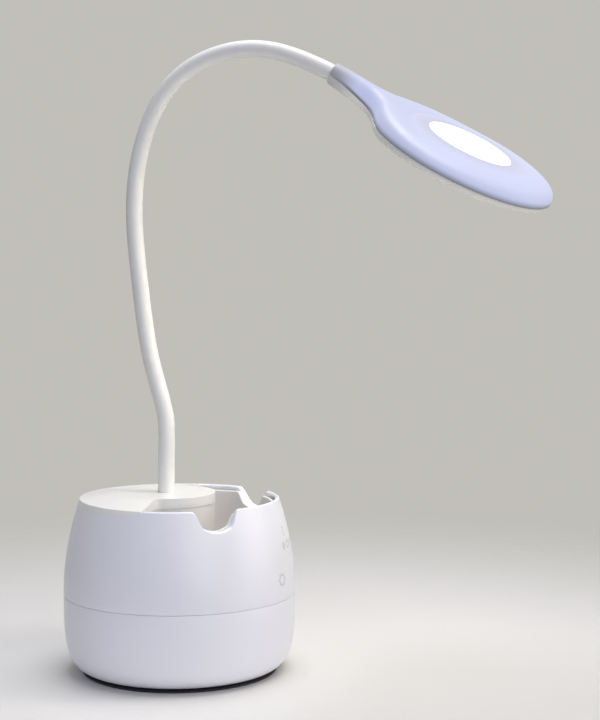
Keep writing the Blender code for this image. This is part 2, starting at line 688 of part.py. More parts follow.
def make_deck_cover():
    """The rear lid and neck boss, with posts for the neck bracket and for the long rear screws."""
    hole = SLEEVE_RADIUS + 2 * CLEARANCE
    edge = deck_outline(0.0)
    loops = [[(x, y, DECK_UNDERSIDE) for x, y in edge]]
    for inset, drop in DECK_LIP_SHARES:
        loop = deck_outline(inset * DECK_LIP_RADIUS)
        loops.append([(x, y, deck_height(x, y) - drop * DECK_LIP_RADIUS) for x, y in loop])
    last = deck_outline(DECK_LIP_RADIUS)
    for share in DECK_RING_SHARES:
        loop = []
        for x, y in last:
            away = Vector((x, y - NECK_SET_BACK))
            near = away.normalized() * hole
            spot = away.lerp(near, share)
            loop.append((spot.x, spot.y + NECK_SET_BACK, deck_height(spot.x, spot.y + NECK_SET_BACK)))
        loops.append(loop)
    loops.append([(x, y, DECK_UNDERSIDE) for x, y, height in loops[-1]])
    bm = bmesh.new()
    stack_loops(bm, loops, wrap=True)
    deck = finish_object("deck_cover", bm, "white_plastic")
    root = DECK_UNDERSIDE + DECK_THICKNESS / 2
    for x, y, boss_top in POST_PLACES[2:]:
        foot = boss_top + CLEARANCE
        join(deck, rod("post", POST_RADIUS, foot, root, centre=(x, y)))
        bite = foot + SCREW_BITE + 2 * CLEARANCE
        cut(deck, rod("pilot", SCREW_RADIUS + CLEARANCE, foot - OVERRUN, bite, centre=(x, y)))
    foot = BRACKET_HEIGHT + BRACKET_THICKNESS + CLEARANCE
    bite = BRACKET_HEIGHT - CLEARANCE + BRACKET_SCREW_LENGTH + CLEARANCE
    for side in (-1, 1):
        place = (side * BRACKET_POST_X, NECK_SET_BACK)
        join(deck, rod("post", BRACKET_POST_RADIUS, foot, root, centre=place))
        cut(deck, rod("pilot", BRACKET_SCREW_RADIUS + CLEARANCE, foot - OVERRUN, bite, centre=place))
    return deck


# What the base holds


def screw(name, place, seat, length, radius, head_radius, head_height, frame=None):
    """A pan-head screw that points up, with its head's flat face at the seat height."""
    profile = [
        (0, seat - head_height),
        (head_radius * HEAD_CROWN_SHARE, seat - head_height),
        (head_radius, seat - head_height * HEAD_SIDE_SHARE),
        (head_radius, seat),
        (radius, seat),
        (radius, seat + length - radius),
        (radius * POINT_SHARE, seat + length),
        (0, seat + length),
    ]
    spot = Matrix.Translation((place[0], place[1], 0))
    return lathe(name, profile, "steel", SCREW_STEPS, spot if frame is None else frame @ spot, closed=False)


def make_base_screws():
    for number, (x, y, boss_top) in enumerate(POST_PLACES):
        seat = boss_top - BOSS_SEAT_WALL - CLEARANCE
        screw("base_screw_%d" % (number + 1), (x, y), seat, boss_top + SCREW_BITE - seat, SCREW_RADIUS,
              SCREW_HEAD_RADIUS, SCREW_HEAD_HEIGHT)


def make_ballast():
    low = FLOOR_TOP + CLEARANCE
    plate = rod("ballast_plate", BALLAST_RADIUS, low, low + BALLAST_THICKNESS, "steel", steps=ROUND_STEPS)
    high = low + BALLAST_THICKNESS + OVERRUN
    for x, y, boss_top in POST_PLACES:
        cut(plate, rod("hole", POST_RADIUS + CLEARANCE, low - OVERRUN, high, centre=(x, y)))
    return plate


BALLAST_TOP = FLOOR_TOP + CLEARANCE + BALLAST_THICKNESS
TRAY_LOW = BALLAST_TOP + CLEARANCE
TRAY_TOP = TRAY_LOW + TRAY_THICKNESS
BOARD_LOW = TRAY_TOP + STANDOFF_HEIGHT + CLEARANCE
BOARD_TOP = BOARD_LOW + BOARD_THICKNESS


def make_rear_tray():
    """A plate behind the pen cup with a ring for the cell and stand-offs for the board."""
    far = BASE_RADIUS
    corners = [(-TRAY_LEFT, TRAY_FRONT), (TRAY_RIGHT, TRAY_FRONT), (TRAY_RIGHT, far), (-TRAY_LEFT, far)]
    tray = prism("rear_tray", corners, TRAY_LOW, TRAY_TOP, "grey_plastic")
    span = (TRAY_LOW - OVERRUN, TRAY_TOP + OVERRUN)
    combine(tray, [rod("round", TRAY_RADIUS, *span, steps=ROUND_STEPS)], "INTERSECT")
    for x, y, boss_top in POST_PLACES[2:]:
        cut(tray, rod("clear", POST_RADIUS + CLEARANCE, *span, centre=(x, y)))
    root = TRAY_TOP - TRAY_THICKNESS / 2
    inner = CELL_RADIUS + CLEARANCE
    wall = ring("cell_ring", inner, inner + CELL_RING_WALL, root, TRAY_TOP + CELL_RING_HEIGHT,
                centre=(CELL_X, CELL_Y), steps=24)
    join(tray, wall)
    for x, y in standoff_places():
        top = TRAY_TOP + STANDOFF_HEIGHT
        join(tray, rod("standoff", STANDOFF_RADIUS, root, top, centre=(x, y), steps=SCREW_STEPS))
    return tray


def standoff_places():
    left = -BOARD_LEFT + STANDOFF_INSET
    right = BOARD_RIGHT - STANDOFF_INSET
    rear = BOARD_REAR - SOCKET_LENGTH
    front = BOARD_FRONT + STANDOFF_INSET
    return [(left, front), (right, front), (left, rear), (right, rear)]


def make_battery_cell():
    low = TRAY_TOP + CLEARANCE
    high = low + CELL_HEIGHT
    edge = CELL_CAP_HEIGHT / 2
    profile = [
        (0, low),
        (CELL_RADIUS - edge, low),
        (CELL_RADIUS, low + edge),
        (CELL_RADIUS, high - CELL_CAP_HEIGHT - edge),
        (CELL_RADIUS - edge, high - CELL_CAP_HEIGHT),
        (CELL_CAP_RADIUS, high - CELL_CAP_HEIGHT),
        (CELL_CAP_RADIUS, high),
        (0, high),
    ]
    place = Matrix.Translation((CELL_X, CELL_Y, 0))
    return lathe("battery_cell", profile, "blue_wrap", 24, place, closed=False)


def make_main_board():
    low = (-BOARD_LEFT, BOARD_FRONT, BOARD_LOW)
    high = (BOARD_RIGHT, BOARD_REAR, BOARD_TOP)
    return box("main_board", low, high, "circuit_board")


def make_board_parts():
    """A driver chip, a charging chip and a coil on the control board."""
    low = BOARD_TOP + CLEARANCE
    right = BOARD_RIGHT - STANDOFF_INSET
    front = BOARD_FRONT + STANDOFF_INSET
    for name, y in (("driver_chip", front), ("charging_chip", front + 2 * CHIP_SIZE)):
        high = (right, y + CHIP_SIZE, low + CHIP_HEIGHT)
        box(name, (right - CHIP_SIZE, y, low), high, "black_plastic")
    place = (-BOARD_LEFT + STANDOFF_INSET + COIL_RADIUS, BOARD_REAR - SOCKET_LENGTH - CHIP_SIZE)
    rod("board_coil", COIL_RADIUS, low, low + COIL_HEIGHT, "black_plastic", centre=place)


SOCKET_CENTRE = BOARD_TOP + CLEARANCE + SOCKET_HEIGHT / 2
SOCKET_REAR = bowl_radius(SOCKET_CENTRE) - SOCKET_RECESS
BOARD_REAR = SOCKET_REAR - SOCKET_OVERHANG


def slot_prism(name, half_width, half_height, near, far, finish):
    """A slot-shaped bar along Y with round ends, centred on the socket's height."""
    outline = []
    steps = 6
    for side in (1, -1):
        for index in range(steps + 1):
            angle = math.radians(-90.0 + 180.0 * index / steps)
            x = side * (half_width - half_height + half_height * math.cos(angle))
            outline.append((x, side * half_height * math.sin(angle)))
    turn = Matrix.Rotation(math.radians(90.0), 4, "X")
    place = Matrix.Translation((0, 0, SOCKET_CENTRE))
    return prism(name, outline, -far, -near, finish, place @ turn)


def socket_cutter(gap):
    near = SOCKET_REAR - SOCKET_LENGTH
    return slot_prism("socket_slot", SOCKET_WIDTH / 2 + gap, SOCKET_HEIGHT / 2 + gap, near,
                      BASE_RADIUS + OVERRUN, "steel")


def make_charging_socket():
    """A steel shell with a contact tongue, open to the rear."""
    near = SOCKET_REAR - SOCKET_LENGTH
    half = (SOCKET_WIDTH / 2, SOCKET_HEIGHT / 2)
    shell = slot_prism("charging_socket", *half, near, SOCKET_REAR, "steel")
    mouth = SOCKET_REAR - SOCKET_DEPTH
    cut(shell, slot_prism("mouth", half[0] - SOCKET_WALL, half[1] - SOCKET_WALL, mouth,
                          SOCKET_REAR + OVERRUN, "steel"))
    low = (-SOCKET_TONGUE_WIDTH / 2, mouth - SOCKET_WALL, SOCKET_CENTRE - SOCKET_TONGUE_THICKNESS / 2)
    high = (SOCKET_TONGUE_WIDTH / 2, SOCKET_REAR - SOCKET_WALL, SOCKET_CENTRE + SOCKET_TONGUE_THICKNESS / 2)
    return join(shell, box("tongue", low, high, "steel"))


def make_touch_board():
    near = CUP_RADIUS + CLEARANCE
    low = (-TOUCH_HALF_WIDTH, -near - TOUCH_THICKNESS, TOUCH_LOW)
    high = (TOUCH_HALF_WIDTH, -near, TOUCH_HIGH)
    return box("touch_board", low, high, "circuit_board")


def make_touch_springs():
    """Three contact springs that press on the inside of the front wall, as tapered drums."""
    spots = [(0.0, TOUCH_UPPER_HEIGHT), (-TOUCH_LOWER_ANGLE, TOUCH_LOWER_HEIGHT),
             (TOUCH_LOWER_ANGLE, TOUCH_LOWER_HEIGHT)]
    board = CUP_RADIUS + 2 * CLEARANCE + TOUCH_THICKNESS
    tip = TOUCH_SPRING_RADIUS * TOUCH_SPRING_TIP_SHARE
    for number, (degrees, height) in enumerate(spots):
        inner = upper_radius(height + tip) - SHELL_WALL
        x = inner * math.sin(math.radians(degrees))
        reach = math.sqrt(inner**2 - (abs(x) + tip) ** 2) - CLEARANCE
        place = Matrix.Translation((x, 0, height)) @ Matrix.Rotation(math.radians(90.0), 4, "X")
        profile = [(0, board), (TOUCH_SPRING_RADIUS, board), (tip, reach), (0, reach)]
        lathe("touch_spring_%d" % (number + 1), profile, "brass", 12, place, closed=False)


# Neck bracket and lower end of the gooseneck


def make_neck_bracket():
    """A plate with round ends under the boss."""
    outline = []
    steps = 6
    for side in (1, -1):
        for index in range(steps + 1):
            angle = math.radians(-90.0 + 180.0 * index / steps)
            x = side * (BRACKET_HALF_LENGTH - BRACKET_HALF_WIDTH + BRACKET_HALF_WIDTH * math.cos(angle))
            outline.append((x, NECK_SET_BACK + side * BRACKET_HALF_WIDTH * math.sin(angle)))
    top = BRACKET_HEIGHT + BRACKET_THICKNESS
    plate = prism("neck_bracket", outline, BRACKET_HEIGHT, top, "steel")
    span = (BRACKET_HEIGHT - OVERRUN, top + OVERRUN)
    cut(plate, rod("bore", FERRULE_RADIUS + CLEARANCE, *span, centre=(0, NECK_SET_BACK), steps=24))
    for side in (-1, 1):
        place = (side * BRACKET_POST_X, NECK_SET_BACK)
        cut(plate, rod("hole", BRACKET_SCREW_RADIUS + CLEARANCE, *span, centre=place, steps=10))
    return plate


def make_bracket_screws():
    for number, side in enumerate((-1, 1)):
        screw("bracket_screw_%d" % (number + 1), (side * BRACKET_POST_X, NECK_SET_BACK),
              BRACKET_HEIGHT - CLEARANCE, BRACKET_SCREW_LENGTH, BRACKET_SCREW_RADIUS, BRACKET_HEAD_RADIUS,
              BRACKET_HEAD_HEIGHT)


BRACKET_TOP = BRACKET_HEIGHT + BRACKET_THICKNESS
FERRULE_SEAT = BRACKET_TOP + CLEARANCE + FERRULE_FLANGE_HEIGHT
SLEEVE_INNER = SLEEVE_RADIUS - SLEEVE_WALL


def make_neck_ferrule():
    """The gooseneck's threaded end: a stud, a flange on the bracket and a cup for the core."""
    low = BRACKET_HEIGHT - FERRULE_TAIL
    flange_low = BRACKET_TOP + CLEARANCE
    cup = CORE_RADIUS + CLEARANCE
    bore = CORE_BORE_RADIUS + CLEARANCE
    profile = [
        (bore, low),
        (FERRULE_RADIUS, low),
        (FERRULE_RADIUS, flange_low),
        (FERRULE_FLANGE_RADIUS, flange_low),
        (FERRULE_FLANGE_RADIUS, FERRULE_SEAT),
        (SLEEVE_RADIUS, FERRULE_SEAT),
        (SLEEVE_RADIUS, FERRULE_TOP),
        (cup, FERRULE_TOP),
        (cup, FERRULE_SEAT),
        (bore, FERRULE_SEAT),
    ]
    place = Matrix.Translation((0, NECK_SET_BACK, 0))
    return lathe("neck_ferrule", profile, "brass", 20, place)


def make_neck_washer():
    high = BRACKET_HEIGHT - CLEARANCE
    return ring("neck_washer", FERRULE_RADIUS + CLEARANCE, WASHER_RADIUS, high - WASHER_THICKNESS, high,
                centre=(0, NECK_SET_BACK), steps=20)


def make_neck_nut():
    high = BRACKET_HEIGHT - 2 * CLEARANCE - WASHER_THICKNESS
    corners = []
    for index in range(6):
        angle = math.tau * index / 6
        corners.append((NUT_RADIUS * math.cos(angle), NECK_SET_BACK + NUT_RADIUS * math.sin(angle)))
    nut = prism("neck_nut", corners, high - NUT_HEIGHT, high, "brass")
    span = (high - NUT_HEIGHT - OVERRUN, high + OVERRUN)
    return cut(nut, rod("bore", FERRULE_RADIUS + CLEARANCE, *span, centre=(0, NECK_SET_BACK), steps=20))


# Neck route


def heading(share):
    """Heading of the neck in degrees above the forward horizontal."""
    return through_stations(NECK_STATION_SHARES, NECK_HEADINGS, share)


def walk_route():
    """Places along the neck at equal steps, from its start to the mouth of the head's tail."""
    steps = 592
    length = NECK_LENGTH / steps
    spot = Vector((0, NECK_SET_BACK, NECK_START_HEIGHT))
    spots = [spot.copy()]
    for index in range(steps):
        angle = math.radians(heading((index + 0.5) / steps))
        spot = spot + Vector((0, -math.cos(angle), math.sin(angle))) * length
        spots.append(spot.copy())
    return spots


ROUTE = walk_route()


def route_frame(distance):
    """Frame on the neck's centre line at a distance from its start: X is sideways, Z runs along it."""
    share = distance / NECK_LENGTH
    angle = math.radians(heading(share))
    along = Vector((0, -math.cos(angle), math.sin(angle)))
    if share <= 0:
        spot = ROUTE[0] + along * distance
    elif share >= 1:
        spot = ROUTE[-1] + along * (distance - NECK_LENGTH)
    else:
        place = share * (len(ROUTE) - 1)
        index = min(int(place), len(ROUTE) - 2)
        spot = ROUTE[index].lerp(ROUTE[index + 1], place - index)
    across = Vector((1, 0, 0))
    frame = Matrix((across, along.cross(across), along)).transposed().to_4x4()
    frame.translation = spot
    return frame


def slid(frame, distance):
    """A frame moved along its own Z."""
    return frame @ Matrix.Translation((0, 0, distance))


def distances(low, high, step):
    """Evenly spread distances from low to high, no further apart than a step."""
    count = max(1, math.ceil((high - low) / step))
    return [mix(low, high, index / count) for index in range(count + 1)]


CORE_START = FERRULE_SEAT + CLEARANCE - NECK_START_HEIGHT
SLEEVE_START = FERRULE_TOP + CLEARANCE - NECK_START_HEIGHT
SLEEVE_END = NECK_LENGTH + SLEEVE_ENTRY
HEAD_FERRULE_START = SLEEVE_END + CLEARANCE
HEAD_FERRULE_END = HEAD_FERRULE_START + HEAD_FERRULE_LENGTH
CORE_END = HEAD_FERRULE_END - HEAD_FERRULE_LENGTH / 3
JOINTS = [share * NECK_LENGTH for share in NECK_JOINT_SHARES]


def make_neck_link(number):
    """A ribbed length of the core: a ball at its far end and a cup at its near end."""
    cup = CORE_RADIUS + CLEARANCE
    outer = []
    bore = []
    if number == 0:
        near = CORE_START
        outer.append((route_frame(near), CORE_RADIUS))
        bore.append((route_frame(near), CORE_BORE_RADIUS))
        body_low = near
    else:
        pivot = route_frame(JOINTS[number - 1])
        rim = math.sqrt(cup**2 - CORE_RADIUS**2)
        middle = (CORE_RADIUS + CORE_BORE_RADIUS) / 2
        outer.append((slid(pivot, rim), CORE_RADIUS))
        bore.append((slid(pivot, rim), CORE_RADIUS - WELD_DISTANCE * 2))
        bore.append((slid(pivot, math.sqrt(cup**2 - middle**2)), middle))
        bore.append((slid(pivot, math.sqrt(cup**2 - CORE_BORE_RADIUS**2)), CORE_BORE_RADIUS))
        body_low = JOINTS[number - 1] + JOINT_STRAIGHT
    last = number == len(JOINTS)
    body_high = CORE_END if last else JOINTS[number] - JOINT_STRAIGHT
    count = max(2, round((body_high - body_low) / CORE_RIB_PITCH))
    pitch = (body_high - body_low) / count
    for index in range(count):
        start = body_low + pitch * index
        outer.append((route_frame(start + pitch * RIB_LAND_SHARE), CORE_RADIUS))
        outer.append((route_frame(start + pitch * RIB_GROOVE_SHARE), CORE_RADIUS - CORE_GROOVE))
    for distance in distances(body_low, body_high, TUBE_STEP):
        bore.append((route_frame(distance), CORE_BORE_RADIUS))
    if last:
        outer.append((route_frame(CORE_END), CORE_RADIUS))
    else:
        pivot = route_frame(JOINTS[number])
        for degrees in BALL_ANGLES:
            angle = math.radians(degrees)
            outer.append((slid(pivot, CORE_RADIUS * math.cos(angle)), CORE_RADIUS * math.sin(angle)))
        tip = math.sqrt(CORE_RADIUS**2 - CORE_BORE_RADIUS**2)
        outer.append((slid(pivot, tip), CORE_BORE_RADIUS + WELD_DISTANCE * 2))
        bore.append((slid(pivot, tip), CORE_BORE_RADIUS))
    return tube("neck_link_%d" % number, outer, bore, CORE_SIDES, "steel")


def make_neck_sleeve():
    """One silicone tube from the ferrule in the boss to the ferrule in the head."""
    stations = distances(SLEEVE_START, SLEEVE_END, TUBE_STEP)
    outer = [(route_frame(distance), SLEEVE_RADIUS) for distance in stations]
    inner = [(route_frame(distance), SLEEVE_INNER) for distance in stations]
    return tube("neck_sleeve", outer, inner, TUBE_SIDES, "white_silicone")


# Head frame and surfaces


def head_frame():
    """Frame of the head: X towards its tip, Y to its left side, Z up out of the lit window's face."""
    mouth = route_frame(NECK_LENGTH)
    along = mouth.to_3x3().col[2].copy()
    side = Vector((1, 0, 0))
    top = side.cross(along) * -1
    roll = Matrix.Rotation(math.radians(HEAD_ROLL), 3, along)
    top = roll @ top
    left = top.cross(along)
    frame = Matrix((along, left, top)).transposed().to_4x4()
    frame.translation = mouth.translation + along * HEAD_REACH + top * TAIL_DROP
    return frame


HEAD = head_frame()
TAIL_MOUTH = -HEAD_REACH - TAIL_OVERLAP


def half_width(u, inset=0.0):
    """Half width of the head at a place along it: a disc that flares out of the tail."""
    radius = HEAD_RADIUS
    if u >= -TAIL_JOIN_DISTANCE:
        wide = math.sqrt(max(0.0, radius**2 - u**2))
    elif u >= -TAIL_NECK_DISTANCE:
        span = TAIL_NECK_DISTANCE - TAIL_JOIN_DISTANCE
        t = (-u - TAIL_JOIN_DISTANCE) / span
        start = math.sqrt(radius**2 - TAIL_JOIN_DISTANCE**2)
        start_slope = -TAIL_JOIN_DISTANCE / start
        wide = (2 * t**3 - 3 * t**2 + 1) * start + (3 * t**2 - 2 * t**3) * TAIL_NECK_HALF_WIDTH
        wide += (t**3 - 2 * t**2 + t) * span * start_slope - (t**3 - t**2) * span * NECK_FLARE_SLOPE
    else:
        t = (-u - TAIL_NECK_DISTANCE) / (-TAIL_MOUTH - TAIL_NECK_DISTANCE)
        wide = mix(TAIL_NECK_HALF_WIDTH, TAIL_RADIUS, smooth(t))
    return wide - inset


def tail_share(u):
    """0 on the disc, 1 on the round part of the tail."""
    return smooth((-u - TAIL_JOIN_DISTANCE) / (TAIL_NECK_DISTANCE - TAIL_JOIN_DISTANCE))


def wall_at(u):
    return mix(HEAD_WALL, TAIL_WALL, smooth((-u - TAIL_JOIN_DISTANCE) / (TAIL_THIN_DISTANCE - TAIL_JOIN_DISTANCE)))


def parting(u):
    """Height of the parting line between the two covers."""
    return -through_stations(PARTING_PLACES, PARTING_DROPS, -u)


def edge_shape(share, power):
    """Height share of a section at a share of its half width: flat in the middle, steep at its edge."""
    return max(0.0, 1.0 - min(1.0, share) ** power) ** (1.0 / power)


def ridge(distance):
    """Height of the tail's top at a distance from the window's centre, outside the crease."""
    if distance < CREASE_RADIUS:
        return (distance - CREASE_RADIUS) * CREASE_SLOPE
    return through_stations(RIDGE_PLACES, RIDGE_HEIGHTS, distance)


def top_height(u, w, share, inset):
    """Height of the top cover's surface, or of its inside when inset."""
    line = parting(u)
    radius = HEAD_RADIUS - inset
    reach = math.hypot(u, w)
    high = line
    if reach < radius:
        high = -HEAD_TOP_DEPTH + (HEAD_TOP_DEPTH - inset) * edge_shape(reach / radius, TOP_EDGE_POWER)
    if u < 0:
        power = mix(TOP_EDGE_POWER, TAIL_EDGE_POWER, tail_share(u))
        swell = ridge(reach) * smooth(-u / CREASE_RADIUS)
        hump = line + (swell - inset - line) * edge_shape(share, power)
        high = max(high, hump)
    return max(high, line)


def bottom_height(u, w, share, inset):
    """Height of the bottom cover's surface, or of its inside when inset."""
    line = parting(u) - HEAD_PARTING_GAP
    radius = HEAD_RADIUS - inset
    reach = math.hypot(u, w)
    low = line
    if reach < radius:
        depth = HEAD_BOTTOM_DEPTH - HEAD_TOP_DEPTH - HEAD_PARTING_GAP - inset
        low = -HEAD_TOP_DEPTH - HEAD_PARTING_GAP - depth * edge_shape(reach / radius, BOTTOM_EDGE_POWER)
    if u < 0:
        power = mix(BOTTOM_EDGE_POWER, TAIL_EDGE_POWER, tail_share(u))
        keel = -through_stations(KEEL_PLACES, KEEL_DROPS, -u)
        low = min(low, line + (keel + inset - line) * edge_shape(share, power))
    return min(low, line)


TAIL_STATION_SHARES = (1.0, 0.9, 0.8, 0.7, 0.62, 0.55, 0.48, 0.40, 0.30, 0.18, 0.0)
HALF_TURN_STEPS = 18
OUTSIDE_ANGLES = (0.0, 12.0, 26.0, 40.0, 54.0, 67.0, 79.0, 90.0)
INSIDE_ANGLES = (0.0, 22.0, 44.0, 66.0, 90.0)


def sheet_rows(height, inset_at, power, section_angles):
    """Rows of points from the centre line outwards, each running round the tip from side to side."""
    rows = []
    for degrees in section_angles:
        share = math.sin(math.radians(degrees)) ** (2.0 / power)
        row = []
        for station in TAIL_STATION_SHARES:
            u = TAIL_MOUTH * station
            inset = inset_at(u)
            w = half_width(u, inset) * share
            row.append(Vector((u, w, height(u, w, share, inset))))
        left = row[-1].y
        for index in range(1, HALF_TURN_STEPS):
            angle = math.pi * index / HALF_TURN_STEPS
            u = left * math.sin(angle)
            w = left * math.cos(angle)
            row.append(Vector((u, w, height(u, w, share, inset_at(0.0)))))
        row += [Vector((spot.x, -spot.y, spot.z)) for spot in reversed(row[:len(TAIL_STATION_SHARES)])]
        rows.append(row)
    return rows


def make_cover(name, height, power):
    """A half of the head's casing: an outer and an inner sheet that meet along the parting line."""
    outside = sheet_rows(height, lambda u: 0.0, power, OUTSIDE_ANGLES)
    inside = sheet_rows(height, wall_at, power, INSIDE_ANGLES)
    rows = outside + list(reversed(inside))
    bm = bmesh.new()
    made = [[bm.verts.new(spot) for spot in row] for row in rows]
    for lower, upper in zip(made, made[1:]):
        for index in range(len(lower) - 1):
            bm.faces.new((lower[index], lower[index + 1], upper[index + 1], upper[index]))
    bmesh.ops.remove_doubles(bm, verts=bm.verts, dist=WELD_DISTANCE)
    gaps = [edge for edge in bm.edges if edge.is_boundary]
    bmesh.ops.holes_fill(bm, edges=gaps, sides=0)
    return finish_object(name, bm, "white_plastic", HEAD)


BOARD_FACE = -LED_BOARD_DEPTH
BOARD_BACK = BOARD_FACE - LED_BOARD_THICKNESS
FLANGE_TOP = top_height(0.0, WINDOW_RADIUS + WINDOW_FLANGE, 1.0, HEAD_WALL) - 2 * CLEARANCE


def ring_places(radius, count, turn=0.0):
    """Places on a ring about the window's centre, counted from the tip."""
    places = []
    for index in range(count):
        angle = math.tau * (index + turn) / count
        places.append((radius * math.cos(angle), radius * math.sin(angle)))
    return places


HEAD_SCREW_PLACES = ring_places(HEAD_POST_RING, HEAD_SCREW_COUNT)


def make_head_top_cover():
    cover = make_cover("head_top_cover", top_height, TOP_EDGE_POWER)
    cut(cover, rod("window_hole", WINDOW_RADIUS + CLEARANCE, FLANGE_TOP - OVERRUN, OVERRUN,
                   steps=ROUND_STEPS, frame=HEAD))
    for place in HEAD_SCREW_PLACES:
        foot = BOARD_FACE + CLEARANCE
        join(cover, rod("post", HEAD_POST_RADIUS, foot, -HEAD_WALL / 2, centre=place, steps=12, frame=HEAD))
        high = BOARD_BACK - CLEARANCE + HEAD_SCREW_LENGTH + CLEARANCE
        cut(cover, rod("pilot", HEAD_SCREW_RADIUS + CLEARANCE, foot - OVERRUN, high, centre=place,
                       steps=8, frame=HEAD))
    return cover


def cradle_rib(u):
    """A rib across the bottom cover's tail, from the middle of its wall up to the parting line."""
    half = CRADLE_HALF_WIDTH
    low = bottom_height(u, half, half / half_width(u), wall_at(u) / 2)
    high = -TAIL_DROP - HEAD_PARTING_GAP
    return box("rib", (u, -half, low), (u + CRADLE_THICKNESS, half, high), "white_plastic", HEAD)


def make_head_bottom_cover():
    """The lower half of the casing, with its opening and the two ribs that cradle the ferrule."""
    cover = make_cover("head_bottom_cover", bottom_height, BOTTOM_EDGE_POWER)
    far_rib = HEAD_FERRULE_END - NECK_LENGTH - HEAD_REACH - 2 * CRADLE_THICKNESS
    near_rib = far_rib - CRADLE_SPACING
    for u in (near_rib, far_rib):
        join(cover, cradle_rib(u))
    along = HEAD @ Matrix.Translation((0, 0, -TAIL_DROP)) @ Matrix.Rotation(math.radians(90.0), 4, "Y")
    cut(cover, rod("channel", HEAD_FERRULE_RADIUS + CLEARANCE, near_rib - OVERRUN,
                   far_rib + CRADLE_THICKNESS + OVERRUN, frame=along))
    return cut(cover, rod("opening", DIFFUSER_RADIUS + CLEARANCE, -HEAD_BOTTOM_DEPTH - OVERRUN,
                          -HEAD_BOTTOM_DEPTH + HEAD_WALL + OVERRUN, steps=ROUND_STEPS, frame=HEAD))


def make_top_window():
    """A lit disc flush with the top, on a flange under the cover."""
    low = FLANGE_TOP - WINDOW_FLANGE_THICKNESS
    wide = WINDOW_RADIUS + WINDOW_FLANGE
    profile = [(0, 0), (WINDOW_RADIUS, 0), (WINDOW_RADIUS, FLANGE_TOP)]
    profile += [(wide, FLANGE_TOP), (wide, low), (0, low)]
    return lathe("top_window", profile, "opal_plastic", frame=HEAD, closed=False)


def make_light_tube():
    low = BOARD_FACE + CLEARANCE
    high = FLANGE_TOP - WINDOW_FLANGE_THICKNESS - CLEARANCE
    return ring("light_tube", WINDOW_RADIUS - LIGHT_TUBE_WALL, WINDOW_RADIUS, low, high, "opal_plastic",
                steps=32, frame=HEAD)


def make_main_diffuser():
    """A shallow opal dish that fills the opening from inside, with a lip over the cover's edge."""
    face = -HEAD_BOTTOM_DEPTH
    lip = DIFFUSER_RADIUS + DIFFUSER_LIP
    seat = bottom_height(0.0, lip, 1.0, HEAD_WALL) + CLEARANCE
    outer = [(0, face - DIFFUSER_BULGE)]
    inner = []
    for share in DIFFUSER_OUTER_SHARES:
        bulge = DIFFUSER_BULGE * (1.0 - share**2)
        outer.append((DIFFUSER_RADIUS * share, face - bulge))
    for share in DIFFUSER_INNER_SHARES:
        bulge = DIFFUSER_BULGE * (1.0 - share**2)
        inner.append(((DIFFUSER_RADIUS - DIFFUSER_WALL) * share, face - bulge + DIFFUSER_WALL))
    profile = outer + [(DIFFUSER_RADIUS, seat), (lip, seat), (lip, seat + DIFFUSER_WALL / 2)]
    profile += [(DIFFUSER_RADIUS - DIFFUSER_WALL, seat + DIFFUSER_WALL / 2)]
    profile += inner + [(0, face - DIFFUSER_BULGE + DIFFUSER_WALL)]
    return lathe("main_diffuser", profile, "opal_plastic", 36, HEAD, closed=False)


def make_led_board():
    """The light board: two rings of lower light sources and one upper ring, soldered to a plate."""
    board = rod("led_board", LED_BOARD_RADIUS, BOARD_BACK, BOARD_FACE, "aluminium", steps=32, frame=HEAD)
    for place in HEAD_SCREW_PLACES:
        cut(board, rod("hole", HEAD_SCREW_RADIUS + CLEARANCE, BOARD_BACK - OVERRUN, BOARD_FACE + OVERRUN,
                       centre=place, steps=8, frame=HEAD))
    core = (BOARD_BACK + BOARD_FACE) / 2
    lower = ring_places(LOWER_LED_RING, LOWER_LED_COUNT, 0.5)
    lower += ring_places(LOWER_LED_INNER_RING, LOWER_LED_INNER_COUNT)
    spans = [(place, BOARD_BACK - LED_HEIGHT, core) for place in lower]
    upper = ring_places(UPPER_LED_RING, UPPER_LED_COUNT)
    spans += [(place, core, BOARD_FACE + LED_HEIGHT) for place in upper]
    for (x, y), low, high in spans:
        near = (x - LED_LENGTH / 2, y - LED_WIDTH / 2, low)
        far = (x + LED_LENGTH / 2, y + LED_WIDTH / 2, high)
        join(board, box("led", near, far, "led", HEAD))
    return board


def make_head_screws():
    return [
        screw("head_screw_%d" % (number + 1), place, BOARD_BACK - CLEARANCE, HEAD_SCREW_LENGTH,
              HEAD_SCREW_RADIUS, HEAD_SCREW_HEAD_RADIUS, HEAD_SCREW_HEAD_HEIGHT, HEAD)
        for number, place in enumerate(HEAD_SCREW_PLACES)
    ]


def make_head_ferrule():
    """The gooseneck's upper end fitting: a cup for the core and a flange trapped in the tail."""
    start = route_frame(HEAD_FERRULE_START)
    length = HEAD_FERRULE_LENGTH
    depth = CORE_END + CLEARANCE - HEAD_FERRULE_START
    cup = CORE_RADIUS + CLEARANCE
    bore = CORE_BORE_RADIUS + CLEARANCE
    profile = [
        (cup, 0),
        (HEAD_FERRULE_FLANGE, 0),
        (HEAD_FERRULE_FLANGE, HEAD_FERRULE_FLANGE_LENGTH),
        (HEAD_FERRULE_RADIUS, HEAD_FERRULE_FLANGE_LENGTH),
        (HEAD_FERRULE_RADIUS, length),
        (bore, length),
        (bore, depth),
        (cup, depth),
    ]
    return lathe("head_ferrule", profile, "brass", SMALL_STEPS, start)


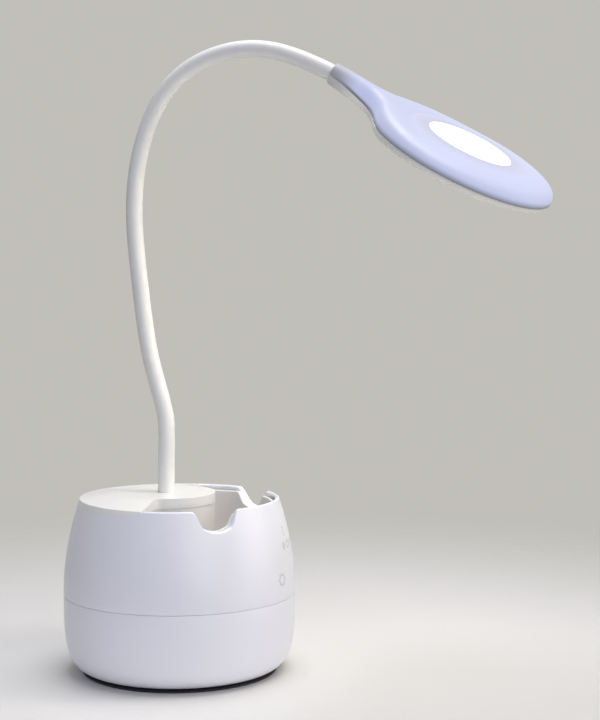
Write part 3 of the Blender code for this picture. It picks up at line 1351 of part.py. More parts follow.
def lead_frames():
    """Frames along the lamp lead, from the control board up through the neck to the light board."""
    start = Vector((LEAD_BOARD_X, LEAD_BOARD_Y, BOARD_TOP + CLEARANCE))
    entry = route_frame(BRACKET_HEIGHT - FERRULE_TAIL - NECK_START_HEIGHT)
    foot = entry.translation
    frames = bend_frames(start, Vector((0, 0, 1)), foot, Vector((0, 0, 1)), LEAD_RISE, 8)
    for distance in distances(foot.z - NECK_START_HEIGHT, HEAD_FERRULE_END, TUBE_STEP)[1:]:
        frames.append(route_frame(distance))
    leave = frames[-1].translation
    along = HEAD.to_3x3().col[0].copy()
    end = HEAD @ Vector((-LEAD_END_DISTANCE, 0, BOARD_FACE + CLEARANCE + LEAD_RADIUS))
    frames += bend_frames(leave, along, end, along, (end - leave).length, 6)[1:]
    return frames


def bend_frames(start, start_way, end, end_way, pull, steps):
    """Frames along a soft curve between two places, with Z along it."""
    frames = []
    for index in range(steps + 1):
        t = index / steps
        spot = start * (2 * t**3 - 3 * t**2 + 1) + end * (3 * t**2 - 2 * t**3)
        spot += start_way * pull * (t**3 - 2 * t**2 + t) + end_way * pull * (t**3 - t**2)
        way = (end - start) * (6 * t - 6 * t**2)
        way += start_way * pull * (3 * t**2 - 4 * t + 1) + end_way * pull * (3 * t**2 - 2 * t)
        way.normalize()
        across = Vector((1, 0, 0))
        across = (across - way * across.dot(way)).normalized()
        frame = Matrix((across, way.cross(across), way)).transposed().to_4x4()
        frame.translation = spot
        frames.append(frame)
    return frames


def make_neck_lead():
    """The lamp lead, whole along its route through the core."""
    bm = bmesh.new()
    loops = [circle_points(LEAD_RADIUS, LEAD_SIDES, frame) for frame in lead_frames()]
    rows = stack_loops(bm, loops)
    bm.faces.new(rows[0])
    bm.faces.new(rows[-1])
    return finish_object("neck_lead", bm, "black_plastic")


def make_pivots():
    """An empty on each joint of the neck, each carried by the one before it."""
    pivots = []
    for number, distance in enumerate(JOINTS):
        pivot = bpy.data.objects.new("neck_joint_%d" % (number + 1), None)
        pivot.empty_display_size = SLEEVE_RADIUS
        bpy.context.scene.collection.objects.link(pivot)
        place = route_frame(distance)
        if pivots:
            pivot.parent = pivots[-1]
            place = route_frame(JOINTS[number - 1]).inverted() @ place
        pivot.matrix_local = place
        pivots.append(pivot)
    return pivots


def hang_on(thing, pivots, number):
    """Give a piece the place of its joint as its origin, and let that joint's empty carry it."""
    place = route_frame(JOINTS[number])
    thing.data.transform(place.inverted())
    thing.parent = pivots[number]


def print_joints():
    """Print each joint's place and its two possible axes."""
    for number, distance in enumerate(JOINTS):
        frame = route_frame(distance)
        spot = frame.translation
        across = frame.to_3x3().col[1]
        print("joint %d at (%.5f, %.5f, %.5f), sideways axis (%.5f, %.5f, %.5f)"
              % (number + 1, *spot, *across))


def main():
    clear_scene()
    make_foot_pad()
    make_lower_shell()
    make_ballast()
    make_rear_tray()
    make_battery_cell()
    make_main_board()
    make_board_parts()
    make_charging_socket()
    make_pen_cup()
    make_upper_shell()
    make_deck_cover()
    make_touch_board()
    make_touch_springs()
    make_base_screws()
    make_neck_bracket()
    make_bracket_screws()
    make_neck_ferrule()
    make_neck_washer()
    make_neck_nut()
    make_neck_sleeve()
    make_neck_lead()
    make_neck_link(0)
    pivots = make_pivots()
    for number in range(1, len(JOINTS) + 1):
        hang_on(make_neck_link(number), pivots, number - 1)
    head_pieces = [
        make_head_ferrule(),
        make_head_top_cover(),
        make_head_bottom_cover(),
        make_top_window(),
        make_light_tube(),
        make_led_board(),
        make_main_diffuser(),
        *make_head_screws(),
    ]
    for piece in head_pieces:
        hang_on(piece, pivots, len(JOINTS) - 1)
    print_joints()


main()
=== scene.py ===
"""Desk lamp with a pen holder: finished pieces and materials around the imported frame.

The lamp stands on Z = 0 with the base's axis on Z, its front towards -Y, its right side to +X.
"""

from math import asin, atan, atan2, ceil, cos, hypot, pi, radians, sin, sqrt, tau

import bmesh
import bpy
from bpy.props import FloatProperty, FloatVectorProperty, IntProperty, PointerProperty
from mathutils import Matrix, Vector


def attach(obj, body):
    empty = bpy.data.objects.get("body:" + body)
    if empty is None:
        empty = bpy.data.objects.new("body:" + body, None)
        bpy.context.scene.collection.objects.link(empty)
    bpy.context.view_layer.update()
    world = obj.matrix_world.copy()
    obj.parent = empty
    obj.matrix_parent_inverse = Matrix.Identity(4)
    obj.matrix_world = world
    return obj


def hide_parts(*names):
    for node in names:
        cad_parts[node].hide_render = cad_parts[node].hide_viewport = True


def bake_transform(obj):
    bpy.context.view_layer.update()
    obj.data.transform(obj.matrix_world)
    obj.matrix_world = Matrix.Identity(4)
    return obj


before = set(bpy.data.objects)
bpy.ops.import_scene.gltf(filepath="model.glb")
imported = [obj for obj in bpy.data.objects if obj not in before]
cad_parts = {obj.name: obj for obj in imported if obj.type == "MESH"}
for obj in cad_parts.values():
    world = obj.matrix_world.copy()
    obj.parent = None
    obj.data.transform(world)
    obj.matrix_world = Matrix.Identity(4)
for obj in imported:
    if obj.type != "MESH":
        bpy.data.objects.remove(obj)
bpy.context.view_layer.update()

bl_info = {
    "name": "Desk lamp with pen holder",
    "version": (1, 0, 0),
    "blender": (4, 5, 0),
    "location": "3D View > Sidebar > Desk lamp",
    "description": "Makes the pieces, materials and studio of a desk lamp with a pen holder",
    "category": "Object",
}

MM = 0.001


def mm(*values):
    """Millimetres as metres."""
    return tuple(value * MM for value in values)


WELD = 0.002 * MM
SHARP_ANGLE = radians(38.0)
SHELL_STEPS = 160
RIM_STEPS = 480
DISC_STEPS = 128

# Base casing
BASE_RADIUS = 57.6 * MM
BASE_HEIGHT = 86.0 * MM
RIM_RADIUS = 49.5 * MM
WAIST_HEIGHT = 41.5 * MM
SEAM_HEIGHT = 38.9 * MM
SEAM_GAP = 0.13 * MM
SHELL_WALL = 2.2 * MM
BOTTOM_FLAT_RADIUS = 38.0 * MM
FOOT_RADIUS = 48.4 * MM
FOOT_HEIGHT = 1.0 * MM
SHELL_BOTTOM = 1.15 * MM
UPPER_CURVE_POWER = 1.8
LOWER_CURVE_POWER = 3.7
TONGUE_OUTER = 55.1 * MM
TONGUE_INNER = 53.9 * MM
TONGUE_TOP = SEAM_HEIGHT + 3.0 * MM
NOTCH_HALF_WIDTH = 11.7 * MM
NOTCH_FLOOR_SHARE = 0.5
NOTCH_BELLY = 0.16
NOTCH_ROOT = 63.5 * MM
LIP_INNER = 47.28 * MM
LIP_LOW = 66.0 * MM
LIP_FADE = 6.0 * MM
LIP_RISE = 4.0 * MM
RIM_BAND = 2.0 * MM
NOTCH_INNER = LIP_INNER - 5.0 * MM
FOOT_EDGE = 0.5 * MM
MARK_THICKNESS = 0.05 * MM
MARK_SINK = 0.01 * MM

# Pen cup and deck
CUP_RADIUS = 47.15 * MM
CUP_WALL = 1.6 * MM
CUP_LOW = 12.0 * MM
CUP_FLOOR = 13.6 * MM
CUP_TOP = BASE_HEIGHT - 2.5 * MM
BOSS_RADIUS = 24.0 * MM
POCKET_REAR = 4.5 * MM
CUP_CORNER = 4.0 * MM
NECK_SET_BACK = 6.9 * MM
DECK_LOW = CUP_TOP + 0.03 * MM
DECK_HOLE = 4.3 * MM
DECK_OVERHANG = 0.4 * MM
DECK_RISE = 2.5 * MM
HOLE_EDGE = 0.4 * MM
STEP_GAP = 0.05 * MM
DECK_RINGS = 14

# Neck
NECK_START_HEIGHT = BASE_HEIGHT + 3.5 * MM
NECK_LENGTH = 296.0 * MM
SLEEVE_START = -3.2 * MM
SLEEVE_END = 302.0 * MM
STATION_SHARES = (0.0, 0.09, 0.16, 0.28, 0.43, 0.56, 0.66, 0.75, 0.83, 0.91, 1.0)
HEADINGS = (90.0, 90.0, 106.0, 98.0, 94.0, 78.0, 59.0, 28.0, 5.0, -18.0, -28.7)
JOINT_SHARES = (0.06, 0.18, 0.30, 0.42, 0.54, 0.66, 0.78, 0.90)
ROUTE_STEPS = 592
SLEEVE_STEP = 2.4 * MM
LEAD_STEP = 4.0 * MM
LEAD_ROOT_STEP = 5.0 * MM
LEAD_SIDES = 10
LEAD_START = mm(6.0, 24.2, 15.2)
LEAD_STRAIGHT_FROM = 63.5 * MM
LEAD_PULL = 30.0 * MM
LEAD_LEAVES_AT = 314.3 * MM
LEAD_END = mm(-36.0, 0.0, -8.4)

# Head
HEAD_RADIUS = 46.7 * MM
HEAD_REACH = 72.8 * MM
HEAD_ROLL = 13.4
HEAD_TOP_DEPTH = 9.0 * MM
HEAD_BOTTOM_DEPTH = 15.2 * MM
PARTING_GAP = 0.08 * MM
TAIL_MOUTH = 74.7 * MM
TAIL_RADIUS = 5.5 * MM
TAIL_DROP = 1.7 * MM
TAIL_NECK_HALF_WIDTH = 6.3 * MM
TAIL_NECK_AT = 60.0 * MM
TAIL_JOIN_AT = 43.0 * MM
NECK_FLARE_SLOPE = 0.1
CREASE_RADIUS = 33.5 * MM
CREASE_SLOPE = 0.3
CREASE_SEAT = 31.2 * MM
RIDGE_PLACES = mm(33.5, 38.0, 45.0, 52.0, 60.0, 68.0, 74.7)
RIDGE_HEIGHTS = mm(0.0, 0.7, 1.9, 2.7, 3.2, 3.6, 3.7)
PARTING_PLACES = mm(36.0, 42.0, 48.0, 54.0, 60.0, 66.0, 74.7)
PARTING_DROPS = mm(9.0, 8.4, 7.3, 6.0, 4.6, 3.2, 1.7)
KEEL_PLACES = mm(30.0, 38.0, 44.0, 50.0, 60.0, 74.7)
KEEL_DROPS = mm(15.2, 14.6, 12.8, 11.2, 9.2, 7.1)
TOP_EDGE_POWER = 3.4
BOTTOM_EDGE_POWER = 3.0
TAIL_EDGE_POWER = 2.0
WINDOW_RADIUS = 21.3 * MM
DIFFUSER_RADIUS = 37.0 * MM
TAIL_COLUMNS = 28
DISC_COLUMNS = 64
COVER_ROWS = 22
COVER_CELL = 1.5 * MM
WINDOW_HOLE = WINDOW_RADIUS + 0.12 * MM
DIFFUSER_HOLE = DIFFUSER_RADIUS + 0.2 * MM
DIFFUSER_RING = DIFFUSER_RADIUS + 1.0 * MM
TAIL_CROWDING = 1.15
WINDOW_EDGE = 0.15 * MM
WINDOW_GAP = 0.02 * MM
WINDOW_THICKNESS = 1.6 * MM
DIFFUSER_SINK = 1.8 * MM
DIFFUSER_WALL = 1.4 * MM
DIFFUSER_BULGE = 0.2 * MM
DIFFUSER_SEAT = 2.8 * MM
DIFFUSER_LIP = 1.6 * MM
LIP_THICKNESS = 0.8 * MM
BOARD_HEIGHT = -10.4 * MM
BOARD_HALF = 0.75 * MM
CELL_FILM_TOP = 79.1 * MM

# Places along the head, and from its middle, between which the glow of its covers changes; most of
# these changes are painted light and shade
SLIM_TAIL = (-TAIL_MOUTH, -36.0 * MM)
LIT_INSIDE = mm(-74.0, -56.0)
DOME_RISE = mm(-62.0, -34.0)
PAINTED_GLOW_ALONG = mm(-34.0, 30.0)
LIGHTS_ROUND = mm(18.0, 34.0)
TOP_PAINTED_EDGE_SHADE = mm(-0.6, 3.2)
BOTTOM_PAINTED_EDGE_SHADE = mm(-0.5, 1.6)

# Studio
FLOOR_RADIUS = 6.0
FADE_FROM = 0.16
FADE_TO = 0.55
LAMP_TARGET = (0, -0.05, 0.12)
LAMPS = (
    ("key_lamp", (0.15, -1.1, 0.32), 0.7, 1.0, (1.0, 0.93, 0.94)),
    ("front_lamp", (-1.0, -0.7, 0.4), 0.8, 1.3, (0.92, 0.92, 1.0)),
    ("side_lamp", (-1.1, 0.2, 0.5), 1.0, 0.7, (0.66, 0.77, 1.0)),
    ("top_lamp", (0.1, -0.1, 1.3), 0.9, 5.0, (0.95, 0.95, 1.0)),
)
CAMERA_PLACE = (-0.7317, -0.2234, 0.1985)
CAMERA_HEADING = (0.976, 0.216, 0.0)
CAMERA_TILT = atan(89.0 / 1540.0)
CAMERA_LENS = 77.0
CAMERA_FILM = 36.0


def mix(low, high, share):
    return low + (high - low) * share


def smooth(share):
    """Ease from 0 to 1."""
    share = min(1.0, max(0.0, share))
    return share * share * (3.0 - 2.0 * share)


def curve(t, start, end, start_way, end_way):
    """A share along a smooth curve between two values or places, with its direction at both."""
    return (start * (2 * t**3 - 3 * t**2 + 1) + end * (3 * t**2 - 2 * t**3)
            + start_way * (t**3 - 2 * t**2 + t) + end_way * (t**3 - t**2))


def through_stations(places, values, at):
    """Value on a smooth curve through stations, level before the first and after the last."""
    at = min(places[-1], max(places[0], at))
    index = 0
    while index < len(places) - 2 and at > places[index + 1]:
        index += 1
    span = places[index + 1] - places[index]

    def slope(station):
        if station == 0:
            return 0.0
        high = min(len(places) - 1, station + 1)
        return (values[high] - values[station - 1]) / (places[high] - places[station - 1])

    return curve((at - places[index]) / span, values[index], values[index + 1],
                 span * slope(index), span * slope(index + 1))


# Settings that a user may change


def length(title, text, size):
    """A setting in millimetres."""
    return FloatProperty(name=title, description=text, default=size * MM, unit="LENGTH")


def tint(title, text, *colour):
    return FloatVectorProperty(name=title, description=text, default=colour, subtype="COLOR")


class LampBaseSettings(bpy.types.PropertyGroup):
    """Sizes and colours of the base."""

    notch_depth: length("Notch depth", "Depth of a phone-rest notch below the rim", 9.9)
    notch_angle: FloatProperty(name="Notch angle", description="Turn of each notch from the front",
                               default=radians(52.6), subtype="ANGLE")
    seam_rounding: length("Seam rounding", "Radius of the edges beside the seam", 0.25)
    cup_edge: length("Cup edge", "Radius of the pen cup's upper edges", 0.5)
    cup_fillet: length("Cup fillet", "Radius between the pen cup's floor and walls", 3.0)
    deck_edge: length("Deck edge", "Radius of the deck's outer edge", 1.8)
    shell_colour: tint("Shell colour", "Colour of the gloss white casing", 0.855, 0.855, 0.915)
    deck_colour: tint("Deck colour", "Colour of the raised deck", 0.88, 0.87, 0.85)
    cup_colour: tint("Cup colour", "Colour of the pen cup", 0.86, 0.84, 0.82)
    mark_colour: tint("Mark colour", "Colour of the printed touch marks", 0.60, 0.59, 0.62)
    # Painted shadow: the foot is made a near-black navy so that it also stands for the shadow gap
    # under the base.
    foot_and_shadow_colour: tint("Foot colour", "Colour of the rubber foot", 0.009, 0.010, 0.018)


class LampNeckSettings(bpy.types.PropertyGroup):
    """Sizes and colours of the neck."""

    sleeve_radius: length("Sleeve radius", "Outer radius of the silicone sleeve", 4.1)
    sleeve_wall: length("Sleeve wall", "Wall thickness of the sleeve", 0.9)
    lead_radius: length("Lead radius", "Radius of the lead inside the neck", 1.1)
    bend_reach: length("Bend reach", "How far from a joint the sleeve starts to bend", 15.0)
    sides: IntProperty(name="Sides", description="Faces round the sleeve", default=40, min=12)
    sleeve_colour: tint("Sleeve colour", "Colour of the silicone sleeve", 0.93, 0.915, 0.885)


class LampHeadSettings(bpy.types.PropertyGroup):
    """Sizes and colours of the head."""

    wall: length("Wall", "Wall thickness of the two covers", 0.9)
    cover_colour: tint("Cover colour", "Colour of the top cover", 0.28, 0.29, 0.32)
    mouth_colour: tint("Mouth colour", "Top cover at the tail's mouth", 0.45, 0.46, 0.48)
    lower_colour: tint("Lower colour", "Colour of the bottom cover", 0.72, 0.71, 0.68)
    # Partly light through the bottom cover, partly painted bounce light from the floor on its lower
    # edge.
    lower_glow_and_painted_bounce: tint("Lower glow", "Light through the bottom cover", 0.155, 0.15, 0.14)
    glow_colour: tint("Glow colour", "Light through the top cover", 0.37, 0.40, 0.60)
    window_colour: tint("Window colour", "Light of the top window", 1.0, 1.0, 1.0)
    panel_colour: tint("Panel colour", "Light of the diffuser", 1.0, 0.95, 0.76)


class LampStageSettings(bpy.types.PropertyGroup):
    """Floor, background and lamps of the studio."""

    floor_colour: tint("Floor colour", "Colour of the floor", 0.80, 0.785, 0.765)
    back_colour: tint("Background colour", "Colour behind the lamp", 0.53, 0.52, 0.48)
    key_power: FloatProperty(name="Key power", description="Power of the main lamp", default=2.7,
                             unit="POWER")


# Shared modelling steps


def new_verts(made):
    """The vertices among what an operator made."""
    return [item for item in made["geom"] if isinstance(item, bmesh.types.BMVert)]


def weld(bm):
    bmesh.ops.remove_doubles(bm, verts=bm.verts, dist=WELD)


def turn_outwards(bm):
    weld(bm)
    bmesh.ops.recalc_face_normals(bm, faces=bm.faces)


def shade(mesh):
    mesh.shade_smooth()
    mesh.set_sharp_from_angle(angle=SHARP_ANGLE)


def add_object(name, data):
    """Put data in the scene as an object."""
    made = bpy.data.objects.new(name, data)
    bpy.context.scene.collection.objects.link(made)
    return made


def make_piece(name, bm, finish=None, place=None):
    """Make a closed bmesh an object at the origin, with its place in its mesh."""
    turn_outwards(bm)
    if place is not None:
        bmesh.ops.transform(bm, matrix=place, verts=bm.verts)
    mesh = bpy.data.meshes.new(name)
    bm.to_mesh(mesh)
    bm.free()
    shade(mesh)
    if finish is not None:
        mesh.materials.append(finish)
    return add_object(name, mesh)


def cut(piece, tool):
    """Cut a tool's shape out of a piece for good, and remove the tool."""
    step = piece.modifiers.new("cut", "BOOLEAN")
    step.operation = "DIFFERENCE"
    step.solver = "EXACT"
    step.object = tool
    bpy.context.view_layer.update()
    graph = bpy.context.evaluated_depsgraph_get()
    result = bpy.data.meshes.new_from_object(piece.evaluated_get(graph))
    piece.modifiers.clear()
    old = piece.data
    piece.data = result
    bpy.data.meshes.remove(old)
    shade(result)
    bpy.data.objects.remove(tool, do_unlink=True)
    return piece


def dress(piece, body, node):
    """Let a piece ride on its body in place of its CAD node, which is hidden."""
    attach(piece, body)
    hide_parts(node)
    return piece


def spin_round(bm, profile, steps, closed=False):
    """Turn a profile of (radius, height) points once round Z."""
    verts = [bm.verts.new((radius, 0, height)) for radius, height in profile]
    pairs = list(zip(verts, verts[1:]))
    if closed:
        pairs.append((verts[-1], verts[0]))
    edges = [bm.edges.new(pair) for pair in pairs]
    bmesh.ops.spin(bm, geom=verts + edges, cent=(0, 0, 0), axis=(0, 0, 1), angle=tau,
                   steps=steps, use_merge=True)


def turned_piece(name, profile, steps, finish, place=None):
    """A piece turned round Z from a profile that starts and ends on the axis."""
    bm = bmesh.new()
    spin_round(bm, profile, steps)
    return make_piece(name, bm, finish, place)


def frame_at(x_way, y_way, z_way, spot):
    """Frame at a spot, from its three directions."""
    made = Matrix((x_way, y_way, z_way)).transposed().to_4x4()
    made.translation = spot
    return made


def bevel(bm, edges, radius, segments):
    bmesh.ops.bevel(bm, geom=edges, offset=radius, offset_type="OFFSET", segments=segments,
                    profile=0.5, affect="EDGES", clamp_overlap=True, material=-1)


def arc(centre_x, centre_z, radius, start, end, steps):
    """Points of an arc in degrees, counted from +X towards +Z."""
    points = []
    for index in range(steps + 1):
        angle = radians(mix(start, end, index / steps))
        points.append((centre_x + radius * cos(angle), centre_z + radius * sin(angle)))
    return points


def polygon(bm, points, height):
    """A flat face through (x, y) points."""
    return bm.faces.new([bm.verts.new((x, y, height)) for x, y in points])


def raise_face(bm, face, height):
    """Extrude a face straight up or down to a height, and give its new top."""
    joined = any(len(edge.link_faces) > 1 for edge in face.edges)
    made = bmesh.ops.extrude_face_region(bm, geom=[face])
    verts = new_verts(made)
    bmesh.ops.translate(bm, vec=(0, 0, height - verts[0].co.z), verts=verts)
    if joined and face.is_valid:
        bmesh.ops.delete(bm, geom=[face], context="FACES_ONLY")
    top = [item for item in made["geom"] if isinstance(item, bmesh.types.BMFace)]
    return top[0]


# Base


def upper_radius(height):
    """Outer radius of the upper shell at a height."""
    above = max(0.0, (height - WAIST_HEIGHT) / (BASE_HEIGHT - WAIST_HEIGHT))
    return BASE_RADIUS - (BASE_RADIUS - RIM_RADIUS) * above**UPPER_CURVE_POWER


def bowl_point(angle, wall):
    """Point of the lower shell's outside, or of its inside at a wall's thickness."""
    power = 2.0 / LOWER_CURVE_POWER
    reach = BASE_RADIUS - wall - BOTTOM_FLAT_RADIUS
    radius = BOTTOM_FLAT_RADIUS + reach * cos(angle) ** power
    return radius, WAIST_HEIGHT - (WAIST_HEIGHT - SHELL_BOTTOM - wall) * sin(angle) ** power


def from_notch(x, y, turn):
    """Distance of a place from the middle line of the nearer notch; far behind the axis."""
    if y >= 0:
        return BASE_RADIUS
    return abs(abs(x) * cos(turn) + y * sin(turn))


def notch_drop(away, depth):
    """How far the rim drops beside a notch's middle: a round floor between two round shoulders."""
    share = away / NOTCH_HALF_WIDTH
    if share < NOTCH_FLOOR_SHARE:
        return depth * (1.0 - NOTCH_BELLY * (share / NOTCH_FLOOR_SHARE) ** 2)
    flank = (share - NOTCH_FLOOR_SHARE) / (1.0 - NOTCH_FLOOR_SHARE)
    return depth * (1.0 - NOTCH_BELLY) * (1.0 - smooth(flank))


def notch_level(vert, settings, rim):
    """Height of a wall's point after its rim is pressed into the two notches."""
    high = vert.co.z
    if high <= NOTCH_ROOT or vert.co.xy.length < NOTCH_INNER:
        return high
    away = from_notch(vert.co.x, vert.co.y, settings.notch_angle)
    drop = max(0.0, notch_drop(away, settings.notch_depth) - (BASE_HEIGHT - rim))
    return high - drop * min(1.0, (high - NOTCH_ROOT) / (rim - RIM_BAND - NOTCH_ROOT))


def press_shell(bm, settings):
    """Notch the shell along its slope, with a wide lip on each notch that reaches in to the cup."""
    for vert in bm.verts:
        radius = vert.co.xy.length
        high = vert.co.z
        low = notch_level(vert, settings, BASE_HEIGHT)
        away = from_notch(vert.co.x, vert.co.y, settings.notch_angle)
        near = 1.0 - smooth((away - NOTCH_HALF_WIDTH) / LIP_FADE)
        near *= smooth((low - LIP_LOW) / LIP_RISE)
        share = min(1.0, max(0.0, 1.0 - (upper_radius(high) - radius) / SHELL_WALL))
        outer = upper_radius(low)
        inner = mix(outer - SHELL_WALL, min(LIP_INNER, outer - SHELL_WALL), near)
        reach = mix(inner, outer, share) if high > NOTCH_ROOT else radius
        vert.co = (vert.co.x * reach / radius, vert.co.y * reach / radius, low)


def make_lower_shell(settings, finish):
    """The bowl below the seam, with a tongue that carries the upper shell."""
    top = SEAM_HEIGHT - SEAM_GAP / 2
    soft = settings.seam_rounding
    profile = [(0, SHELL_BOTTOM)]
    profile += [bowl_point(radians(90.0 - 90.0 * index / 28), 0.0) for index in range(27)]
    profile += arc(BASE_RADIUS - soft, top - soft, soft, 0.0, 90.0, 4)
    profile += [(TONGUE_OUTER, top), (TONGUE_OUTER, TONGUE_TOP), (TONGUE_INNER, TONGUE_TOP)]
    profile += [bowl_point(radians(angle), SHELL_WALL) for angle in (20, 35, 50, 65, 80, 90)]
    profile.append((0, SHELL_BOTTOM + SHELL_WALL))
    return turned_piece("lower_casing", profile, SHELL_STEPS, finish)


def make_upper_shell(settings, finish):
    """The tapered wall above the seam, with a round rim, two notches and a step under the deck."""
    low = SEAM_HEIGHT + SEAM_GAP / 2
    soft = settings.seam_rounding
    lip = SHELL_WALL / 2
    outer = arc(BASE_RADIUS - soft, low + soft, soft, -90.0, 0.0, 4)
    heights = [mix(WAIST_HEIGHT, BASE_HEIGHT - lip, index / 30) for index in range(31)]
    outer += [(upper_radius(height), height) for height in heights]
    rim = arc(outer[-1][0] - lip, BASE_HEIGHT - lip, lip, 0.0, 180.0, 12)[1:-1]
    inner = [(upper_radius(height) - SHELL_WALL, height) for height in reversed(heights)]
    inner.append((BASE_RADIUS - SHELL_WALL, low))
    bm = bmesh.new()
    spin_round(bm, outer + rim + inner, RIM_STEPS, closed=True)
    press_shell(bm, settings)
    shell = make_piece("upper_casing", bm, finish)
    far = BASE_RADIUS
    front = POCKET_REAR - DECK_OVERHANG - STEP_GAP
    block = bmesh.new()
    face = polygon(block, [(-far, front), (far, front), (far, far), (-far, far)], CUP_TOP)
    raise_face(block, face, BASE_HEIGHT + far)
    return cut(shell, make_piece("deck_step", block))


def sweep(centre_x, centre_y, radius, start, end, steps, first=0):
    """Points of an arc round a centre, its angle counted from -Y towards +X."""
    angles = [mix(start, end, index / steps) for index in range(first, steps + 1)]
    return [(centre_x + radius * sin(angle), centre_y - radius * cos(angle))
            for angle in angles]


def mirrored(half):
    """A closed outline from its right half, which starts and ends on the middle line."""
    return half + [(-x, y) for x, y in reversed(half[1:-1])]


def boss_corner(boss, corner, front):
    """The centre of a round corner beside the boss: its X, and its angle seen from the boss."""
    centre_x = sqrt((boss + corner) ** 2 - (front - corner - NECK_SET_BACK) ** 2)
    return centre_x, atan2(centre_x, NECK_SET_BACK - (front - corner))


def horseshoe(boss, outer, rear, corner):
    """Outline of a pen pocket round the boss: outer wall, rear corners and boss wall."""
    outer_x = sqrt((outer - corner) ** 2 - (rear - corner) ** 2)
    outer_end = atan2(outer_x, -(rear - corner))
    inner_x, inner_end = boss_corner(boss, corner, rear)
    half = sweep(0, 0, outer, 0, outer_end, 72)
    half += sweep(outer_x, rear - corner, corner, outer_end, pi, 12, first=1)
    half += sweep(inner_x, rear - corner, corner, pi, pi + inner_end, 12)
    half += sweep(0, NECK_SET_BACK, boss, inner_end, 0, 36, first=1)
    return mirrored(half)


def make_pen_cup(settings, finish):
    """The horseshoe liner: raised from its outline, its pocket inset and sunk, its edges round."""
    outline = horseshoe(BOSS_RADIUS - CUP_WALL, CUP_RADIUS, POCKET_REAR + CUP_WALL,
                        CUP_CORNER + CUP_WALL)
    levels = [mix(NOTCH_ROOT, CUP_TOP, index / 7) for index in range(8)]
    bm = bmesh.new()
    face = polygon(bm, outline, CUP_LOW)
    for level in levels:
        face = raise_face(bm, face, level)
    outer_rim = list(face.edges)
    bmesh.ops.inset_region(bm, faces=[face], thickness=CUP_WALL, use_even_offset=True)
    rim = outer_rim + list(face.edges)
    for level in levels[-2::-1] + [CUP_FLOOR]:
        face = raise_face(bm, face, level)
    bevel(bm, list(face.edges), settings.cup_fillet, 5)
    bevel(bm, rim, settings.cup_edge, 3)
    for vert in bm.verts:
        vert.co.z = notch_level(vert, settings, CUP_TOP)
    return make_piece("pen_liner", bm, finish)


def deck_outline():
    """Edge of the deck: round the boss's front, along the straight fronts and round the rear."""
    boss = BOSS_RADIUS + DECK_OVERHANG
    front = POCKET_REAR - DECK_OVERHANG
    corner = CUP_CORNER - DECK_OVERHANG
    inner_x, inner_end = boss_corner(boss, corner, front)
    edge_x = sqrt(RIM_RADIUS**2 - front**2)
    half = sweep(0, NECK_SET_BACK, boss, 0, inner_end, 24)
    half += sweep(inner_x, front - corner, corner, inner_end + pi, pi, 8, first=1)
    half += [(mix(half[-1][0], edge_x, index / 8), front) for index in range(1, 8)]
    half += sweep(0, 0, RIM_RADIUS, atan2(edge_x, -front), pi, 40)
    return mirrored(half)


def deck_height(x, y):
    """Height of the deck's top: full on the boss, falling to the rim behind it."""
    distance = hypot(x, y - NECK_SET_BACK)
    fall = smooth((distance - BOSS_RADIUS) / (RIM_RADIUS - BOSS_RADIUS))
    return BASE_HEIGHT + DECK_RISE * (1.0 - fall)


def make_deck(settings, finish):
    """The raised rear lid: its edge bridged to the neck's hole, domed, and given soft edges."""
    outline = deck_outline()
    count = len(outline)
    bm = bmesh.new()
    outer = [bm.verts.new((x, y, 0)) for x, y in outline]
    inner = []
    for x, y in outline:
        away = Vector((x, y - NECK_SET_BACK)).normalized() * DECK_HOLE
        inner.append(bm.verts.new((away.x, away.y + NECK_SET_BACK, 0)))
    loops = [bm.edges.new((ring[index], ring[(index + 1) % count])) for ring in (outer, inner)
             for index in range(count)]
    bmesh.ops.bridge_loops(bm, edges=loops)
    spokes = [edge for edge in bm.edges if edge not in set(loops)]
    bmesh.ops.subdivide_edges(bm, edges=spokes, cuts=DECK_RINGS, use_grid_fill=True)
    for vert in bm.verts:
        vert.co.z = deck_height(vert.co.x, vert.co.y)
    made = bmesh.ops.extrude_face_region(bm, geom=list(bm.faces))
    for vert in new_verts(made):
        reach = hypot(vert.co.x, vert.co.y)
        if reach > RIM_RADIUS - WELD:
            vert.co.xy *= upper_radius(DECK_LOW) / reach
        vert.co.z = DECK_LOW
    turn_outwards(bm)
    rim = [edge for edge in bm.edges if edge.calc_face_angle(0) > 1.0
           and all(vert.co.z > DECK_LOW + 1 * MM for vert in edge.verts)]
    edge_rim = [edge for edge in rim
                if all(hypot(vert.co.x, vert.co.y - NECK_SET_BACK) > 2 * DECK_HOLE
                       for vert in edge.verts)]
    hole_rim = [edge for edge in rim if edge not in set(edge_rim)]
    bevel(bm, edge_rim, settings.deck_edge, 5)
    bevel(bm, hole_rim, HOLE_EDGE, 3)
    return make_piece("deck_lid", bm, finish)


def make_foot(finish):
    profile = [(0, 0)] + arc(FOOT_RADIUS - FOOT_EDGE, FOOT_EDGE, FOOT_EDGE, -90.0, 0.0, 5)
    profile += [(FOOT_RADIUS, FOOT_HEIGHT), (0, FOOT_HEIGHT)]
    return turned_piece("rubber_foot", profile, DISC_STEPS, finish)


# Touch marks, drawn flat in mm


def wrap_mark(bm, turn, height):
    """Lay a flat mark on the front wall at a turn and a height."""
    for vert in bm.verts:
        across, up, out = vert.co
        radius = upper_radius(height + up)
        angle = turn + across / radius
        reach = radius - MARK_SINK + out
        vert.co = (reach * sin(angle), -reach * cos(angle), height + up)


def ring_mark(bm, inner, outer, steps, start=0.0, end=360.0):
    """A ring, or part of one, spun from a short edge."""
    pair = [bm.verts.new((radius * MM, 0, 0)) for radius in (inner, outer)]
    bmesh.ops.rotate(bm, verts=pair, cent=(0, 0, 0),
                     matrix=Matrix.Rotation(radians(start), 3, "Z"))
    bmesh.ops.spin(bm, geom=pair + [bm.edges.new(pair)], cent=(0, 0, 0), axis=(0, 0, 1),
                   angle=radians(end - start), steps=steps, use_merge=end - start >= 360.0)


